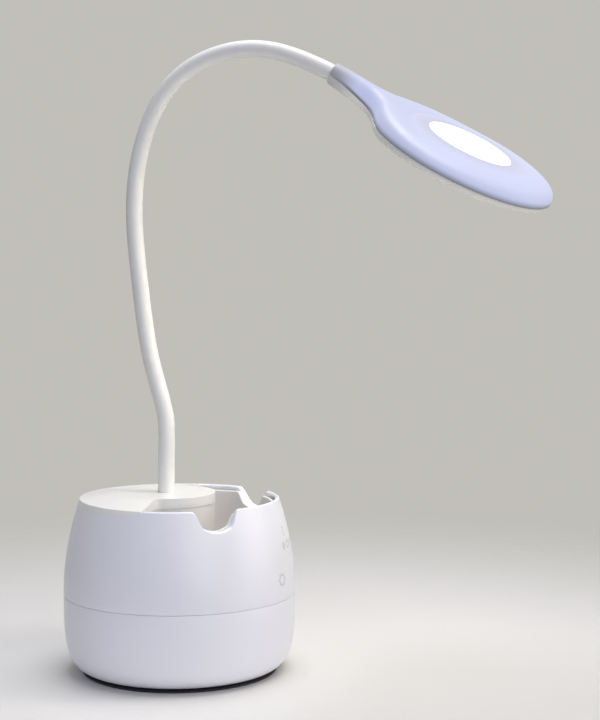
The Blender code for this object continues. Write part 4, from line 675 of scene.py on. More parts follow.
def bar_mark(bm, width, low, high, turn=0.0):
    """A short bar that starts at a distance from the centre and points away from it."""
    verts = bmesh.ops.create_grid(bm, x_segments=1, y_segments=3, size=0.5)["verts"]
    bmesh.ops.scale(bm, vec=(width * MM, (high - low) * MM, 1), verts=verts)
    bmesh.ops.translate(bm, vec=(0, (low + high) / 2 * MM, 0), verts=verts)
    bmesh.ops.rotate(bm, verts=verts, cent=(0, 0, 0), matrix=Matrix.Rotation(turn, 3, "Z"))


def make_mark(name, draw, turn, height, finish):
    bm = bmesh.new()
    draw(bm)
    turn_outwards(bm)
    made = bmesh.ops.extrude_face_region(bm, geom=list(bm.faces))
    bmesh.ops.translate(bm, vec=(0, 0, MARK_THICKNESS), verts=new_verts(made))
    wrap_mark(bm, radians(turn), height * MM)
    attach(make_piece(name, bm, finish), "root")


def draw_power(bm):
    ring_mark(bm, 1.4, 2.1, 32, 125.0, 415.0)
    bar_mark(bm, 0.7, 0.7, 2.4)


def draw_levels(bm):
    for index in range(3):
        bar_mark(bm, 1.0, (index - 1.5) * 1.8, (index - 0.8) * 1.8)


def sun(inner, outer, steps, width, low, high):
    """Gives the drawing of a ring with eight rays."""
    def draw(bm):
        ring_mark(bm, inner, outer, steps)
        for index in range(8):
            bar_mark(bm, width, low, high, tau * index / 8)
    return draw


SMALL_SUN = sun(0.55, 1.15, 24, 0.5, 1.4, 2.2)
MARKS = (
    ("power_mark", draw_power, 0.0, 64.8),
    ("left_sun_mark", SMALL_SUN, -6.4, 64.8),
    ("right_sun_mark", SMALL_SUN, 6.4, 64.8),
    ("level_mark", draw_levels, -3.4, 71.8),
    ("brighter_mark", sun(2.1, 2.8, 36, 0.6, 3.2, 4.1), 13.5, 49.4),
    ("dimmer_mark", sun(2.1, 2.8, 36, 0.6, 3.2, 3.8), -13.5, 49.4),
)


# Neck


def heading(share):
    """Heading of the neck in degrees above the forward horizontal."""
    return through_stations(STATION_SHARES, HEADINGS, share)


def walk_route():
    """Places along the neck at equal steps, from its start to the mouth of the head's tail."""
    spot = Vector((0, NECK_SET_BACK, NECK_START_HEIGHT))
    spots = [spot.copy()]
    for index in range(ROUTE_STEPS):
        angle = radians(heading((index + 0.5) / ROUTE_STEPS))
        spot += Vector((0, -cos(angle), sin(angle))) * (NECK_LENGTH / ROUTE_STEPS)
        spots.append(spot.copy())
    return spots


ROUTE = walk_route()


def route_frame(distance):
    """Frame on the neck's centre line at a distance from its start: X is sideways, Z runs along."""
    share = distance / NECK_LENGTH
    angle = radians(heading(share))
    along = Vector((0, -cos(angle), sin(angle)))
    if share <= 0:
        spot = ROUTE[0] + along * distance
    elif share >= 1:
        spot = ROUTE[-1] + along * (distance - NECK_LENGTH)
    else:
        place = share * (len(ROUTE) - 1)
        index = min(int(place), len(ROUTE) - 2)
        spot = ROUTE[index].lerp(ROUTE[index + 1], place - index)
    across = Vector((1, 0, 0))
    return frame_at(across, along.cross(across), along, spot)


def route_frames(low, high, step):
    """Frames along the neck at about equal steps."""
    count = max(1, ceil((high - low) / step))
    return [route_frame(mix(low, high, index / count)) for index in range(count + 1)]


def bend_frames(start, start_way, end, end_way, pull, steps):
    """Frames along a soft curve between two places, with Z along it."""
    frames = []
    for index in range(steps + 1):
        t = index / steps
        way = (end - start) * (6 * t - 6 * t**2)
        way += start_way * pull * (3 * t**2 - 4 * t + 1) + end_way * pull * (3 * t**2 - 2 * t)
        way.normalize()
        across = Vector((1, 0, 0))
        across = (across - way * across.dot(way)).normalized()
        spot = curve(t, start, end, start_way * pull, end_way * pull)
        frames.append(frame_at(across, way.cross(across), way, spot))
    return frames


def skin_rings(bm, frames, radius, sides):
    """Circles on frames, bridged one after another; gives each ring's edges."""
    rings = []
    for place in frames:
        made = bmesh.ops.create_circle(bm, cap_ends=False, radius=radius, segments=sides,
                                       matrix=place)
        rings.append(list({edge for vert in made["verts"] for edge in vert.link_edges}))
    for lower, upper in zip(rings, rings[1:]):
        bmesh.ops.bridge_loops(bm, edges=lower + upper)
    return rings


def make_sleeve_part(number, low, high, settings, finish):
    """A closed length of the sleeve: an outer and an inner skin, bridged at both ends."""
    frames = route_frames(low, high, SLEEVE_STEP)
    bm = bmesh.new()
    outer = skin_rings(bm, frames, settings.sleeve_radius, settings.sides)
    inner = skin_rings(bm, frames, settings.sleeve_radius - settings.sleeve_wall, settings.sides)
    for end in (0, -1):
        bmesh.ops.bridge_loops(bm, edges=outer[end] + inner[end])
    return make_piece("neck_sleeve_part_%d" % (number + 1), bm, finish)


def make_lead_part(number, frames, settings, finish):
    bm = bmesh.new()
    rings = skin_rings(bm, frames, settings.lead_radius, LEAD_SIDES)
    for end in (0, -1):
        bmesh.ops.holes_fill(bm, edges=rings[end], sides=0)
    return make_piece("neck_lead_part_%d" % (number + 1), bm, finish)


def lead_root_frames(high):
    """The lead's way from the control board up to the neck."""
    foot = route_frame(LEAD_STRAIGHT_FROM - NECK_START_HEIGHT).translation
    up = Vector((0, 0, 1))
    return (bend_frames(Vector(LEAD_START), up, foot, up, LEAD_PULL, 16)
            + route_frames(foot.z - NECK_START_HEIGHT, high, LEAD_ROOT_STEP)[1:])


def lead_head_frames(low):
    """The lead's way from the neck to the light board."""
    frames = route_frames(low, LEAD_LEAVES_AT, LEAD_STEP)
    leave = frames[-1].translation
    along = HEAD.to_3x3().col[0].copy()
    end = HEAD @ Vector(LEAD_END)
    return frames + bend_frames(leave, along, end, along, (end - leave).length, 8)[1:]


# Head


def head_place():
    """Frame of the head: X towards its tip, Y to its left side, Z up out of the lit window."""
    mouth = route_frame(NECK_LENGTH)
    along = mouth.to_3x3().col[2].copy()
    top = Vector((1, 0, 0)).cross(along) * -1
    top = Matrix.Rotation(radians(HEAD_ROLL), 3, along) @ top
    return frame_at(along, top.cross(along), top,
                    mouth.translation + along * HEAD_REACH + top * TAIL_DROP)


HEAD = head_place()


def half_width(u):
    """Half width of the head at a place along it: a disc that flares out of the tail."""
    if u >= -TAIL_JOIN_AT:
        return sqrt(max(0.0, HEAD_RADIUS**2 - u**2))
    if u >= -TAIL_NECK_AT:
        span = TAIL_NECK_AT - TAIL_JOIN_AT
        start = sqrt(HEAD_RADIUS**2 - TAIL_JOIN_AT**2)
        return curve((-u - TAIL_JOIN_AT) / span, start, TAIL_NECK_HALF_WIDTH,
                     -span * TAIL_JOIN_AT / start, -span * NECK_FLARE_SLOPE)
    share = smooth((-u - TAIL_NECK_AT) / (TAIL_MOUTH - TAIL_NECK_AT))
    return mix(TAIL_NECK_HALF_WIDTH, TAIL_RADIUS, share)


def tail_share(u):
    """0 on the disc, 1 on the round part of the tail."""
    return smooth((-u - TAIL_JOIN_AT) / (TAIL_NECK_AT - TAIL_JOIN_AT))


def parting(u):
    """Height of the parting line between the two covers."""
    return -through_stations(PARTING_PLACES, PARTING_DROPS, -u)


def edge_shape(share, power):
    """Height share of a section at a share of its half width: flat inside, steep at its edge."""
    return max(0.0, 1.0 - min(1.0, abs(share)) ** power) ** (1.0 / power)


def ridge(distance):
    """Height of the tail's top at a distance from the window's centre."""
    if distance < CREASE_RADIUS:
        return (distance - CREASE_RADIUS) * CREASE_SLOPE
    return through_stations(RIDGE_PLACES, RIDGE_HEIGHTS, distance)


def tail_form(u, w, line, crest, power):
    """Height of a cover's tail part between the parting line at its sides and its crest."""
    power = mix(power, TAIL_EDGE_POWER, tail_share(u))
    return line + (crest - line) * edge_shape(w / half_width(u), power)


def top_height(u, w):
    """Height of the top cover: a flat disc, with a hump that rises out of it towards the tail."""
    high = line = parting(u)
    reach = hypot(u, w)
    if reach < HEAD_RADIUS:
        high = HEAD_TOP_DEPTH * (edge_shape(reach / HEAD_RADIUS, TOP_EDGE_POWER) - 1.0)
    if u < 0:
        crest = ridge(reach) * smooth(-u / CREASE_RADIUS)
        high = max(high, tail_form(u, w, line, crest, TOP_EDGE_POWER))
    return max(high, line)


def bottom_height(u, w):
    """Height of the bottom cover: a shallow dish that runs into the tail's lower half."""
    low = line = parting(u) - PARTING_GAP
    reach = hypot(u, w)
    if reach < HEAD_RADIUS:
        depth = HEAD_BOTTOM_DEPTH - HEAD_TOP_DEPTH - PARTING_GAP
        drop = depth * edge_shape(reach / HEAD_RADIUS, BOTTOM_EDGE_POWER)
        low = -HEAD_TOP_DEPTH - PARTING_GAP - drop
    if u < 0:
        keel = -through_stations(KEEL_PLACES, KEEL_DROPS, -u)
        low = min(low, tail_form(u, w, line, keel, BOTTOM_EDGE_POWER))
    return min(low, line)


TOP_SHEET = (top_height, TOP_EDGE_POWER, CREASE_SEAT, WINDOW_HOLE)
BOTTOM_SHEET = (bottom_height, BOTTOM_EDGE_POWER, DIFFUSER_RING, DIFFUSER_HOLE)


def form_cover(height, power, ring, hole):
    """A grid laid between the head's outline and an inner ring, carried in to a hole and raised."""
    columns = TAIL_COLUMNS + DISC_COLUMNS
    join_angle = atan2(half_width(-TAIL_JOIN_AT), -TAIL_JOIN_AT)
    start = asin((ring / HEAD_RADIUS) ** (power / 2))
    bm = bmesh.new()
    bmesh.ops.create_grid(bm, x_segments=2 * columns, y_segments=COVER_ROWS, size=0.5)
    for vert in bm.verts:
        run = vert.co.x + 0.5
        side = -1 if run > 0.5 else 1
        column = (1.0 - abs(2.0 * run - 1.0)) * columns
        lean = (vert.co.y + 0.5) * pi / 2
        if column <= TAIL_COLUMNS:
            share = column / TAIL_COLUMNS
            outer_u = mix(-TAIL_MOUTH, -TAIL_JOIN_AT, share)
            outer_w = half_width(outer_u)
            inner_u, inner_w = mix(-TAIL_MOUTH, -ring, share**TAIL_CROWDING), 0.0
        else:
            share = 1.0 - (column - TAIL_COLUMNS) / DISC_COLUMNS
            angle = join_angle * share
            outer_u, outer_w = HEAD_RADIUS * cos(angle), HEAD_RADIUS * sin(angle)
            angle = pi * share
            inner_u, inner_w = ring * cos(angle), ring * sin(angle)
        lift = mix(pi / 2, start, lean / (pi / 2))
        reach = HEAD_RADIUS * sin(lift) ** (2 / power)
        inward = mix((reach - ring) / (HEAD_RADIUS - ring), cos(lean), tail_share(outer_u))
        vert.co = (mix(inner_u, outer_u, inward), mix(inner_w, outer_w, inward) * side, 0.0)
    weld(bm)
    rim = [edge for edge in bm.edges if edge.is_boundary
           and all(abs(vert.co.xy.length - ring) < WELD for vert in edge.verts)]
    inner = new_verts(bmesh.ops.extrude_edge_only(bm, edges=rim))
    for vert in inner:
        vert.co.xy = vert.co.xy.normalized() * hole
    spokes = [edge for vert in inner for edge in vert.link_edges
              if edge.other_vert(vert) not in set(inner)]
    cuts = max(1, round((ring - hole) / COVER_CELL))
    bmesh.ops.subdivide_edges(bm, edges=spokes, cuts=cuts, use_grid_fill=True)
    for vert in bm.verts:
        vert.co.z = height(vert.co.x, vert.co.y)
    return bm


def make_cover(name, sheet, wall, downwards, finish):
    """A cover from its sheet, with its wall on the inside of the head."""
    bm = form_cover(*sheet)
    bmesh.ops.recalc_face_normals(bm, faces=bm.faces)
    middle = max(bm.faces, key=lambda face: abs(face.normal.z) * face.calc_area())
    if (middle.normal.z > 0) == downwards:
        bmesh.ops.reverse_faces(bm, faces=bm.faces)
    bmesh.ops.solidify(bm, geom=list(bm.faces), thickness=wall)
    return make_piece(name, bm, finish, HEAD)


def make_window(finish):
    """The lit disc, flush with the cover and as slightly crowned as it."""
    edge = WINDOW_RADIUS - WINDOW_GAP
    flat = edge - WINDOW_EDGE
    profile = [(flat * index / 12, top_height(flat * index / 12, 0.0)) for index in range(13)]
    low = profile[-1][1]
    profile += arc(flat, low - WINDOW_EDGE, WINDOW_EDGE, 90.0, 0.0, 3)[1:]
    profile += [(edge, low - WINDOW_THICKNESS), (0, low - WINDOW_THICKNESS)]
    return turned_piece("lit_window", profile, DISC_STEPS, finish, HEAD)


def make_diffuser(finish):
    """The opal dish that lights the desk, set a little inside the rim, with a lip behind it."""
    face = DIFFUSER_SINK - HEAD_BOTTOM_DEPTH
    seat = DIFFUSER_SEAT - HEAD_BOTTOM_DEPTH
    lip = DIFFUSER_RADIUS + DIFFUSER_LIP
    shares = [index / 14 for index in range(15)]
    outer = [(DIFFUSER_RADIUS * share, face - DIFFUSER_BULGE * (1.0 - share**2))
             for share in shares]
    inner = [(radius * 0.96, height + DIFFUSER_WALL) for radius, height in reversed(outer[:-1])]
    profile = outer + [(DIFFUSER_RADIUS, seat), (lip, seat), (lip, seat + LIP_THICKNESS)]
    profile += [(DIFFUSER_RADIUS - DIFFUSER_WALL, seat + LIP_THICKNESS)] + inner
    return turned_piece("opal_diffuser", profile, DISC_STEPS, finish, HEAD)


# Shader maths


def maths(operation, swapped=False):
    """An operator of Signal that adds a maths node."""
    def add_node(*values):
        values = values[::-1] if swapped else values
        recipe = next(value.recipe for value in values if isinstance(value, Signal))
        return recipe.node("Math", {"operation": operation}, dict(enumerate(values)))
    return add_node


class Signal:
    """A socket of a material's tree; an expression on signals adds its maths nodes."""

    def __init__(self, recipe, socket):
        self.recipe = recipe
        self.socket = socket

    __add__ = maths("ADD")
    __radd__ = maths("ADD", swapped=True)
    __sub__ = maths("SUBTRACT")
    __rsub__ = maths("SUBTRACT", swapped=True)
    __mul__ = maths("MULTIPLY")
    __gt__ = maths("GREATER_THAN")
    __lt__ = maths("LESS_THAN")
    __abs__ = maths("ABSOLUTE")
    __pow__ = maths("POWER")


def from_axis(x, y):
    """Distance of a place from the axis, as a signal."""
    return (x * x + y * y) ** 0.5


def opaque(colour):
    return (*tuple(colour)[:3], 1.0)


class Recipe:
    """A material being written: its tree, its shader and the nodes that feed it."""

    def __init__(self, name, colour, roughness, metallic=0.0):
        self.material = bpy.data.materials.new(name)
        self.material.use_nodes = True
        self.material.diffuse_color = opaque(colour)
        self.tree = self.material.node_tree
        self.shader = self.tree.nodes["Principled BSDF"]
        self.colour = tuple(colour)
        self.feed(Base_Color=opaque(colour), Roughness=roughness, Metallic=metallic)

    def join(self, socket, value):
        if isinstance(value, Signal):
            self.tree.links.new(value.socket, socket)
        else:
            socket.default_value = value

    def feed(self, **values):
        """Set or link the shader's sockets, named with _ for a space."""
        for name, value in values.items():
            self.join(self.shader.inputs[name.replace("_", " ")], value)

    def node(self, kind, settings, values, outlet=0):
        """Add a node: first its settings, then its sockets' values or links. Gives an output."""
        made = self.tree.nodes.new("ShaderNode" + kind)
        for name, value in settings.items():
            setattr(made, name, value)

        def find(sockets, key):
            if isinstance(key, int):
                return sockets[key]
            return next(item for item in sockets if item.name == key and item.enabled)

        for key, value in values.items():
            self.join(find(made.inputs, key), value)
        return Signal(self, find(made.outputs, outlet))

    def place(self):
        """Object coordinates."""
        return self.node("TexCoord", {}, {}, "Object")

    def split(self, vector):
        """X, Y and Z of a vector."""
        made = self.tree.nodes.new("ShaderNodeSeparateXYZ")
        self.join(made.inputs[0], vector)
        return [Signal(self, socket) for socket in made.outputs]

    def in_head(self):
        """Places along, across and up from the window's centre."""
        return self.split(self.node("Mapping", {"vector_type": "TEXTURE"}, {
            "Vector": self.place(), "Location": HEAD.translation, "Rotation": HEAD.to_euler()}))

    def noise(self, scale, detail=2.0, roughness=0.5, vector=None):
        """Noise from 0 to 1 with about so many features to a metre."""
        return self.node("TexNoise", {}, {"Vector": vector or self.place(), "Scale": scale,
                                          "Detail": detail, "Roughness": roughness}, "Fac")

    def spread(self, value, low, high, new_low=0.0, new_high=1.0):
        """Move a range onto another, softly at its ends."""
        return self.node("MapRange", {"interpolation_type": "SMOOTHSTEP"}, {
            "Value": value, "From Min": low, "From Max": high, "To Min": new_low,
            "To Max": new_high})

    def blend(self, share, first, second):
        """Mix two colours."""
        first, second = (colour if isinstance(colour, Signal) else opaque(colour)
                         for colour in (first, second))
        return self.node("Mix", {"data_type": "RGBA"},
                         {"Factor": share, "A": first, "B": second}, "Result")

    def relief(self, height, distance):
        """Bump from a height of 0 to 1 over a distance in mm."""
        self.feed(Normal=self.node("Bump", {}, {"Height": height, "Distance": distance * MM}))

    def tinted(self, change):
        """The base colour made a share lighter or darker."""
        return tuple(min(1.0, part * change) for part in self.colour)

    def grain(self, noise, dark, light, rough, rougher):
        """Let one noise change the colour between two and add to the roughness."""
        self.feed(Base_Color=self.blend(noise, dark, light), Roughness=rough + noise * rougher)


def moulded(name, colour, roughness, coat=0.0, grain=0.006):
    """Moulded plastic: faint flow marks in its colour, a handled sheen and a very fine skin."""
    recipe = Recipe(name, colour, roughness)
    flow = recipe.noise(18.0, 3.0)
    handled = recipe.spread(recipe.noise(42.0, 4.0, 0.6), 0.35, 0.7)
    recipe.feed(Base_Color=recipe.blend(flow, recipe.tinted(0.985), recipe.tinted(1.01)),
                Roughness=roughness + handled * (0.22 * roughness),
                Coat_Weight=coat, Coat_Roughness=0.22)
    recipe.relief(recipe.noise(1500.0) * 0.85 + recipe.noise(220.0) * 0.15, grain)
    return recipe


def silicone(name, colour):
    recipe = Recipe(name, colour, 0.5)
    dust = recipe.spread(recipe.noise(120.0, 5.0, 0.65), 0.45, 0.75)
    recipe.grain(dust, recipe.colour, recipe.tinted(0.965), 0.46, 0.1)
    recipe.relief(recipe.noise(900.0, 3.0), 0.005)
    recipe.feed(Sheen_Weight=0.12, Sheen_Roughness=0.4)
    return recipe


def glowing_cover(name, colour, mouth_colour, glow, edge, tail_painted_shade=1.0):
    """Milky plastic with light inside, which fades towards the tail's mouth; much of its glow is
    painted light and shade.

    Painted shade: the glow fades out near the parting edge, and the tail's base colour is made
    darker. Painted light: the glow is stronger in the tail, reaches further down the tail's sides,
    and changes along the head. Its glow is also dimmer and warmer near the window.
    """
    recipe = moulded(name, colour, 0.45, grain=0.004)
    along, across, up = recipe.in_head()
    line = recipe.spread(along, *SLIM_TAIL, -TAIL_DROP, -HEAD_TOP_DEPTH)
    inside = recipe.spread(along, *LIT_INSIDE)
    # Painted light: on the tail the painted edge shade is narrower, so the tail's sides glow
    # further down.
    narrower_painted_shade_on_tail = recipe.spread(along, *SLIM_TAIL, 2.2, 1.0)
    # Painted shade: the glow fades out near the parting line, so the cover's edge looks shaded
    # there.
    clear = recipe.spread(abs(up - line) * narrower_painted_shade_on_tail, *edge)
    dome = recipe.spread(along, *DOME_RISE)
    # Painted light: the glow's strength changes along the head and is raised in the tail, standing
    # in for how light falls on the cover.
    painted_glow_strength = recipe.spread(along, *PAINTED_GLOW_ALONG, 0.83, 0.96) + (1.0 - dome) * 0.3
    outer = recipe.spread(from_axis(along, across), *LIGHTS_ROUND)
    middle = tuple(part * share for part, share in zip(glow, (0.84, 0.78, 0.66)))
    light = recipe.blend(outer, middle, glow)
    # Painted shade: the base colour on the tail is made darker by a share, for the shade on the
    # tail's top.
    body = recipe.blend(dome, recipe.tinted(tail_painted_shade), recipe.colour)
    recipe.feed(Emission_Color=recipe.blend(inside * clear * painted_glow_strength, (0.0, 0.0, 0.0), light),
                Base_Color=recipe.blend(inside, mouth_colour, body), Emission_Strength=1.0)
    return recipe


def lit_panel(name, colour, strength, reach, fade):
    """An opal panel with light behind it, dimmer towards its edge."""
    recipe = Recipe(name, (0.9, 0.9, 0.9), 0.35)
    along, across, _ = recipe.in_head()
    edge = recipe.spread(from_axis(along, across), reach * 0.75, reach)
    dim = tuple(part * (1.0 - fade) for part in colour)
    recipe.feed(Emission_Color=recipe.blend(edge + recipe.noise(60.0) * 0.03, colour, dim),
                Emission_Strength=strength)
    recipe.relief(recipe.noise(900.0), 0.004)
    return recipe


def grained(name, colour, noise, shades, rough, rougher, depth=0.0):
    """A plain material whose colour, roughness and relief follow one noise."""
    recipe = Recipe(name, colour, rough)
    grain = recipe.noise(*noise)
    recipe.grain(grain, recipe.tinted(shades[0]), recipe.tinted(shades[1]), rough, rougher)
    if depth:
        recipe.relief(grain, depth)
    return recipe


def worked_metal(name, colour, roughness):
    """Turned or drawn metal with fine marks along one way and a few duller spots."""
    recipe = Recipe(name, colour, roughness, 1.0)
    drawn = recipe.node("Mapping", {}, {"Vector": recipe.place(), "Scale": (1.0, 1.0, 14.0)})
    marks = recipe.noise(900.0, 3.0, 0.6, drawn)
    dull = recipe.spread(recipe.noise(180.0, 4.0), 0.5, 0.7)
    recipe.feed(Roughness=roughness + marks * 0.1 + dull * 0.12,
                Base_Color=recipe.blend(dull, recipe.colour, recipe.tinted(0.8)))
    recipe.relief(marks, 0.02)
    return recipe


def printed_board(name, colour):
    """Green board with traces and plated holes."""
    recipe = Recipe(name, colour, 0.35)

    def cells(scale, **settings):
        return recipe.node("TexVoronoi", settings, {"Vector": recipe.place(), "Scale": scale},
                           "Distance")

    trace = cells(420.0, feature="DISTANCE_TO_EDGE") < 0.06
    pad = cells(260.0) < 0.14
    board = recipe.blend(trace, recipe.colour, recipe.tinted(2.2))
    recipe.feed(Base_Color=recipe.blend(pad, board, (0.75, 0.62, 0.35)), Metallic=pad * 0.9,
                Roughness=0.4 - pad * 0.1)
    recipe.relief(trace, 0.03)
    return recipe


def light_board(name):
    """Aluminium board with a white face, and yellow light sources where they stand proud."""
    recipe = Recipe(name, (0.85, 0.86, 0.87), 0.45)
    proud = abs(recipe.in_head()[2] - BOARD_HEIGHT) > BOARD_HALF
    grain = recipe.noise(700.0, 3.0)
    face = recipe.blend(grain, recipe.tinted(0.96), recipe.tinted(1.0))
    recipe.feed(Base_Color=recipe.blend(proud, face, (0.95, 0.80, 0.30)),
                Roughness=0.4 + grain * 0.1)
    recipe.relief(grain, 0.01)
    return recipe


def wrapped_cell(name, colour):
    """Shrink film over the cell, bare metal at its ends."""
    recipe = Recipe(name, colour, 0.3)
    bare = recipe.split(recipe.place())[2] > CELL_FILM_TOP
    wrinkle = recipe.noise(260.0, 3.0)
    film = recipe.blend(wrinkle, recipe.tinted(0.85), recipe.tinted(1.15))
    recipe.feed(Base_Color=recipe.blend(bare, film, (0.6, 0.6, 0.62)), Metallic=bare,
                Roughness=0.28 + wrinkle * 0.12)
    recipe.relief(wrinkle, 0.05)
    return recipe


def black_part(name):
    recipe = Recipe(name, (0.02, 0.02, 0.022), 0.45)
    grain = recipe.noise(1300.0, 3.0)
    recipe.grain(grain, (0.014, 0.014, 0.016), (0.03, 0.03, 0.033), 0.4, 0.15)
    recipe.relief(grain, 0.02)
    return recipe


def floor_finish(name, colour):
    """Pale floor paint that fades into the background away from the lamp."""
    recipe = Recipe(name, colour, 0.5)
    x, y, _ = recipe.split(recipe.place())
    recipe.grain(recipe.noise(3.0, 3.0), recipe.tinted(0.985), recipe.tinted(1.0), 0.4, 0.1)
    recipe.feed(Alpha=1.0 - recipe.spread(from_axis(x, y), FADE_FROM, FADE_TO))
    return recipe


def paint_nodes(finish, names):
    """Give parts of the frame that keep their CAD form a material."""
    for name in names:
        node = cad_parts[name]
        node.data.materials.clear()
        node.data.materials.append(finish)


# Operators, one for each group of pieces and one for the studio


class LAMP_OT_base_casing(bpy.types.Operator):
    """Make the lower and upper casing of the base."""

    bl_idname = "lamp.base_casing"
    bl_label = "Base casing"

    def execute(self, context):
        settings = context.scene.lamp_base
        finish = moulded("gloss_white_plastic", settings.shell_colour, 0.32, coat=0.12).material
        dress(make_lower_shell(settings, finish), "root", "lower_shell")
        dress(make_upper_shell(settings, finish), "root", "upper_shell")
        return {"FINISHED"}


class LAMP_OT_pen_liner(bpy.types.Operator):
    """Make the horseshoe liner that the pens stand in."""

    bl_idname = "lamp.pen_liner"
    bl_label = "Pen liner"

    def execute(self, context):
        settings = context.scene.lamp_base
        finish = moulded("satin_white_plastic", settings.cup_colour, 0.4, grain=0.015).material
        dress(make_pen_cup(settings, finish), "root", "pen_cup")
        return {"FINISHED"}


class LAMP_OT_deck_lid(bpy.types.Operator):
    """Make the raised lid with the neck's boss."""

    bl_idname = "lamp.deck_lid"
    bl_label = "Deck lid"

    def execute(self, context):
        settings = context.scene.lamp_base
        finish = moulded("deck_white_plastic", settings.deck_colour, 0.3, coat=0.15).material
        dress(make_deck(settings, finish), "root", "deck_cover")
        return {"FINISHED"}


class LAMP_OT_foot(bpy.types.Operator):
    """Make the rubber foot."""

    bl_idname = "lamp.foot"
    bl_label = "Rubber foot"

    def execute(self, context):
        # The foot's near-black navy is partly the rubber's colour and partly painted shadow under
        # the base.
        finish = grained("foot_rubber_painted_shadow", context.scene.lamp_base.foot_and_shadow_colour, (1100.0, 4.0, 0.6),
                         (0.8, 1.5), 0.68, 0.2, 0.05).material
        dress(make_foot(finish), "root", "foot_pad")
        return {"FINISHED"}


class LAMP_OT_touch_marks(bpy.types.Operator):
    """Print the generic touch marks on the front wall."""

    bl_idname = "lamp.touch_marks"
    bl_label = "Touch marks"

    def execute(self, context):
        finish = grained("mark_ink", context.scene.lamp_base.mark_colour, (2200.0,),
                         (0.93, 1.07), 0.36, 0.1).material
        for name, draw, turn, height in MARKS:
            make_mark(name, draw, turn, height, finish)
        return {"FINISHED"}


class LAMP_OT_neck(bpy.types.Operator):
    """Make the sleeve and the lead in lengths, each round one joint."""

    bl_idname = "lamp.neck"
    bl_label = "Neck"

    def execute(self, context):
        settings = context.scene.lamp_neck
        sleeve = silicone("sleeve_silicone", settings.sleeve_colour).material
        black = black_part("lead_jacket").material
        joints = [share * NECK_LENGTH for share in JOINT_SHARES]
        splits = [(before + after) / 2 for before, after in zip(joints, joints[1:])]
        ends = [SLEEVE_START, *splits, SLEEVE_END]
        for number, joint in enumerate(joints):
            low, high = ends[number:number + 2]
            part = make_sleeve_part(number, low, high, settings, sleeve)
            frames = route_frames(low, high, LEAD_STEP)
            if number == 0:
                frames = lead_root_frames(low)[:-1] + frames
            if number == len(splits):
                frames += lead_head_frames(high)[1:]
            lead = make_lead_part(number, frames, settings, black)
            middle = route_frame(joint)
            for piece, node, slot in ((part, "neck_sleeve", "white_silicone"),
                                      (lead, "neck_lead", "black_plastic")):
                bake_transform(piece)
                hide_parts(node)
        return {"FINISHED"}


class LAMP_OT_head_covers(bpy.types.Operator):
    """Make the two covers of the head."""

    bl_idname = "lamp.head_covers"
    bl_label = "Head covers"

    def execute(self, context):
        settings = context.scene.lamp_head
        # The top cover's tail gets half its base colour as painted shade.
        top = glowing_cover("glowing_plastic_painted_shade", settings.cover_colour, settings.mouth_colour,
                            settings.glow_colour, TOP_PAINTED_EDGE_SHADE, 0.5).material
        # The bottom cover's glow is partly light through it and partly painted bounce light from
        # the floor.
        low = glowing_cover("grey_white_plastic_painted_bounce", settings.lower_colour, settings.lower_colour,
                            settings.lower_glow_and_painted_bounce, BOTTOM_PAINTED_EDGE_SHADE).material
        for name, sheet, downwards, finish, node in (
            ("head_upper_shell", TOP_SHEET, False, top, "head_top_cover"),
            ("head_lower_shell", BOTTOM_SHEET, True, low, "head_bottom_cover"),
        ):
            cover = make_cover(name, sheet, settings.wall, downwards, finish)
            dress(cover, "head", node)
        return {"FINISHED"}


class LAMP_OT_lit_panels(bpy.types.Operator):
    """Make the lit window and the opal diffuser."""

    bl_idname = "lamp.lit_panels"
    bl_label = "Lit panels"

    def execute(self, context):
        settings = context.scene.lamp_head
        window = lit_panel("window_light", settings.window_colour, 1.1, WINDOW_RADIUS, 0.04)
        panel = lit_panel("diffuser_light", settings.panel_colour, 14.0, DIFFUSER_RADIUS, 0.5)
        dress(make_window(window.material), "head", "top_window")
        dress(make_diffuser(panel.material), "head", "main_diffuser")
        return {"FINISHED"}


class LAMP_OT_inner_parts(bpy.types.Operator):
    """Give the parts inside the lamp their materials."""

    bl_idname = "lamp.inner_parts"
    bl_label = "Inner parts"

    def execute(self, context):
        names = sorted(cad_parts)
        steel = worked_metal("drawn_steel", (0.60, 0.61, 0.62), 0.3)
        brass = worked_metal("turned_brass", (0.72, 0.55, 0.27), 0.28)
        board = printed_board("green_board", (0.03, 0.20, 0.08))
        black = black_part("black_component")
        grey = moulded("grey_tray_plastic", (0.35, 0.36, 0.38), 0.45, grain=0.02)
        opal = moulded("white_tube_plastic", (0.85, 0.85, 0.84), 0.4)
        cell = wrapped_cell("cell_film", (0.05, 0.18, 0.45))
        lights = light_board("light_board_face")
        screws = [name for name in names if "screw" in name]
        links = [name for name in names if name.startswith("neck_link")]
        springs = [name for name in names if name.startswith("touch_spring")]
        for recipe, parts in (
            (steel, [*screws, *links, "ballast_plate", "neck_bracket", "neck_washer",
                     "charging_socket"]),
            (brass, ["neck_ferrule", "neck_nut", "head_ferrule", *springs]),
            (board, ["main_board", "touch_board"]),
            (black, ["driver_chip", "charging_chip", "board_coil"]),
            (grey, ["rear_tray"]),
            (opal, ["light_tube"]),
            (cell, ["battery_cell"]),
            (lights, ["led_board"]),
        ):
            paint_nodes(recipe.material, parts)
        return {"FINISHED"}


class LAMP_OT_stage(bpy.types.Operator):
    """Make the floor, the background, the lamps and the camera."""

    bl_idname = "lamp.stage"
    bl_label = "Studio"

    def execute(self, context):
        settings = context.scene.lamp_stage
        make_floor(settings)
        make_background(settings)
        make_lamps(settings)
        make_camera()
        return {"FINISHED"}


def make_floor(settings):
    bm = bmesh.new()
    bmesh.ops.create_circle(bm, cap_ends=True, radius=FLOOR_RADIUS, segments=96)
    mesh = bpy.data.meshes.new("floor")
    bm.to_mesh(mesh)
    bm.free()
    mesh.materials.append(floor_finish("floor_paint", settings.floor_colour).material)
    add_object("floor", mesh)


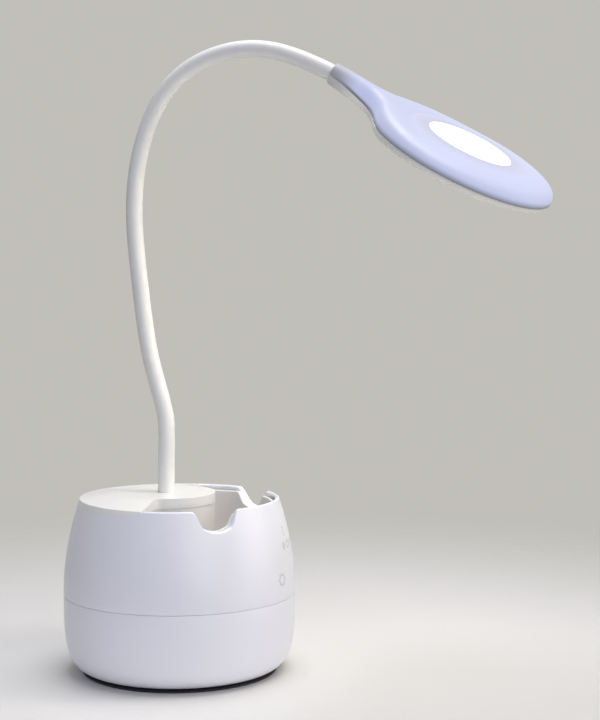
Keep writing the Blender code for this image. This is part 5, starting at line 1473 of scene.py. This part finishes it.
def make_background(settings):
    """A plain pale colour for the camera and for reflections, and soft white light for the rest."""
    world = bpy.data.worlds.new("studio")
    bpy.context.scene.world = world
    world.use_nodes = True
    tree = world.node_tree
    light = tree.nodes["Background"]
    light.inputs["Color"].default_value = (0.97, 0.98, 1.0, 1.0)
    light.inputs["Strength"].default_value = 0.1
    seen = tree.nodes.new("ShaderNodeBackground")
    seen.inputs["Color"].default_value = (*settings.back_colour, 1.0)
    path = tree.nodes.new("ShaderNodeLightPath")
    both = tree.nodes.new("ShaderNodeMixShader")
    share = path.outputs["Is Camera Ray"]
    for ray in ("Is Glossy Ray", "Is Transmission Ray"):
        either = tree.nodes.new("ShaderNodeMath")
        either.operation = "MAXIMUM"
        tree.links.new(share, either.inputs[0])
        tree.links.new(path.outputs[ray], either.inputs[1])
        share = either.outputs[0]
    tree.links.new(share, both.inputs["Fac"])
    tree.links.new(light.outputs[0], both.inputs[1])
    tree.links.new(seen.outputs[0], both.inputs[2])
    tree.links.new(both.outputs[0], tree.nodes["World Output"].inputs["Surface"])


def make_lamps(settings):
    """Three soft lamps round the object and one above it."""
    for name, place, size, share, colour in LAMPS:
        lamp = bpy.data.lights.new(name, "AREA")
        lamp.shape = "DISK"
        lamp.size = size
        lamp.energy = settings.key_power * share
        lamp.color = colour
        holder = add_object(name, lamp)
        holder.location = place
        way = Vector(LAMP_TARGET) - Vector(place)
        holder.rotation_euler = way.to_track_quat("-Z", "Y").to_euler()


def make_camera():
    """The photograph's camera: low, level but for a slight downward tilt."""
    lens = bpy.data.cameras.new("camera")
    holder = add_object("camera", lens)
    level = Vector(CAMERA_HEADING).normalized()
    look = level * cos(CAMERA_TILT) + Vector((0, 0, -sin(CAMERA_TILT)))
    right = Vector((level.y, -level.x, 0.0))
    holder.matrix_world = frame_at(right, right.cross(look), -look, CAMERA_PLACE)
    lens.sensor_fit = "VERTICAL"
    lens.sensor_height = CAMERA_FILM
    lens.lens = CAMERA_LENS
    lens.clip_start = 0.01
    bpy.context.scene.camera = holder
    bpy.context.scene.view_settings.view_transform = "Standard"


class LAMP_PT_panel(bpy.types.Panel):
    """Lists the lamp's settings and the operators that make its pieces."""

    bl_idname = "LAMP_PT_panel"
    bl_label = "Desk lamp"
    bl_space_type = "VIEW_3D"
    bl_region_type = "UI"
    bl_category = "Desk lamp"

    def draw(self, context):
        for title, name, _ in SETTINGS:
            group = getattr(context.scene, name)
            box = self.layout.box()
            box.label(text=title)
            for setting in group.__annotations__:
                box.prop(group, setting)
        for operator in OPERATORS:
            self.layout.operator(operator.bl_idname)


SETTINGS = (
    ("Base", "lamp_base", LampBaseSettings),
    ("Neck", "lamp_neck", LampNeckSettings),
    ("Head", "lamp_head", LampHeadSettings),
    ("Studio", "lamp_stage", LampStageSettings),
)
OPERATORS = (
    LAMP_OT_base_casing, LAMP_OT_pen_liner, LAMP_OT_deck_lid, LAMP_OT_foot, LAMP_OT_touch_marks,
    LAMP_OT_neck, LAMP_OT_head_covers, LAMP_OT_lit_panels, LAMP_OT_inner_parts, LAMP_OT_stage,
)


def register():
    for _, name, group in SETTINGS:
        bpy.utils.register_class(group)
        setattr(bpy.types.Scene, name, PointerProperty(type=group))
    for operator in OPERATORS:
        bpy.utils.register_class(operator)
    bpy.utils.register_class(LAMP_PT_panel)


def unregister():
    bpy.utils.unregister_class(LAMP_PT_panel)
    for operator in reversed(OPERATORS):
        bpy.utils.unregister_class(operator)
    for _, name, group in reversed(SETTINGS):
        delattr(bpy.types.Scene, name)
        bpy.utils.unregister_class(group)


def main():
    register()
    bpy.ops.lamp.base_casing()
    bpy.ops.lamp.pen_liner()
    bpy.ops.lamp.deck_lid()
    bpy.ops.lamp.foot()
    bpy.ops.lamp.touch_marks()
    bpy.ops.lamp.neck()
    bpy.ops.lamp.head_covers()
    bpy.ops.lamp.lit_panels()
    bpy.ops.lamp.inner_parts()
    bpy.ops.lamp.stage()


if __name__ == "__main__":
    main()
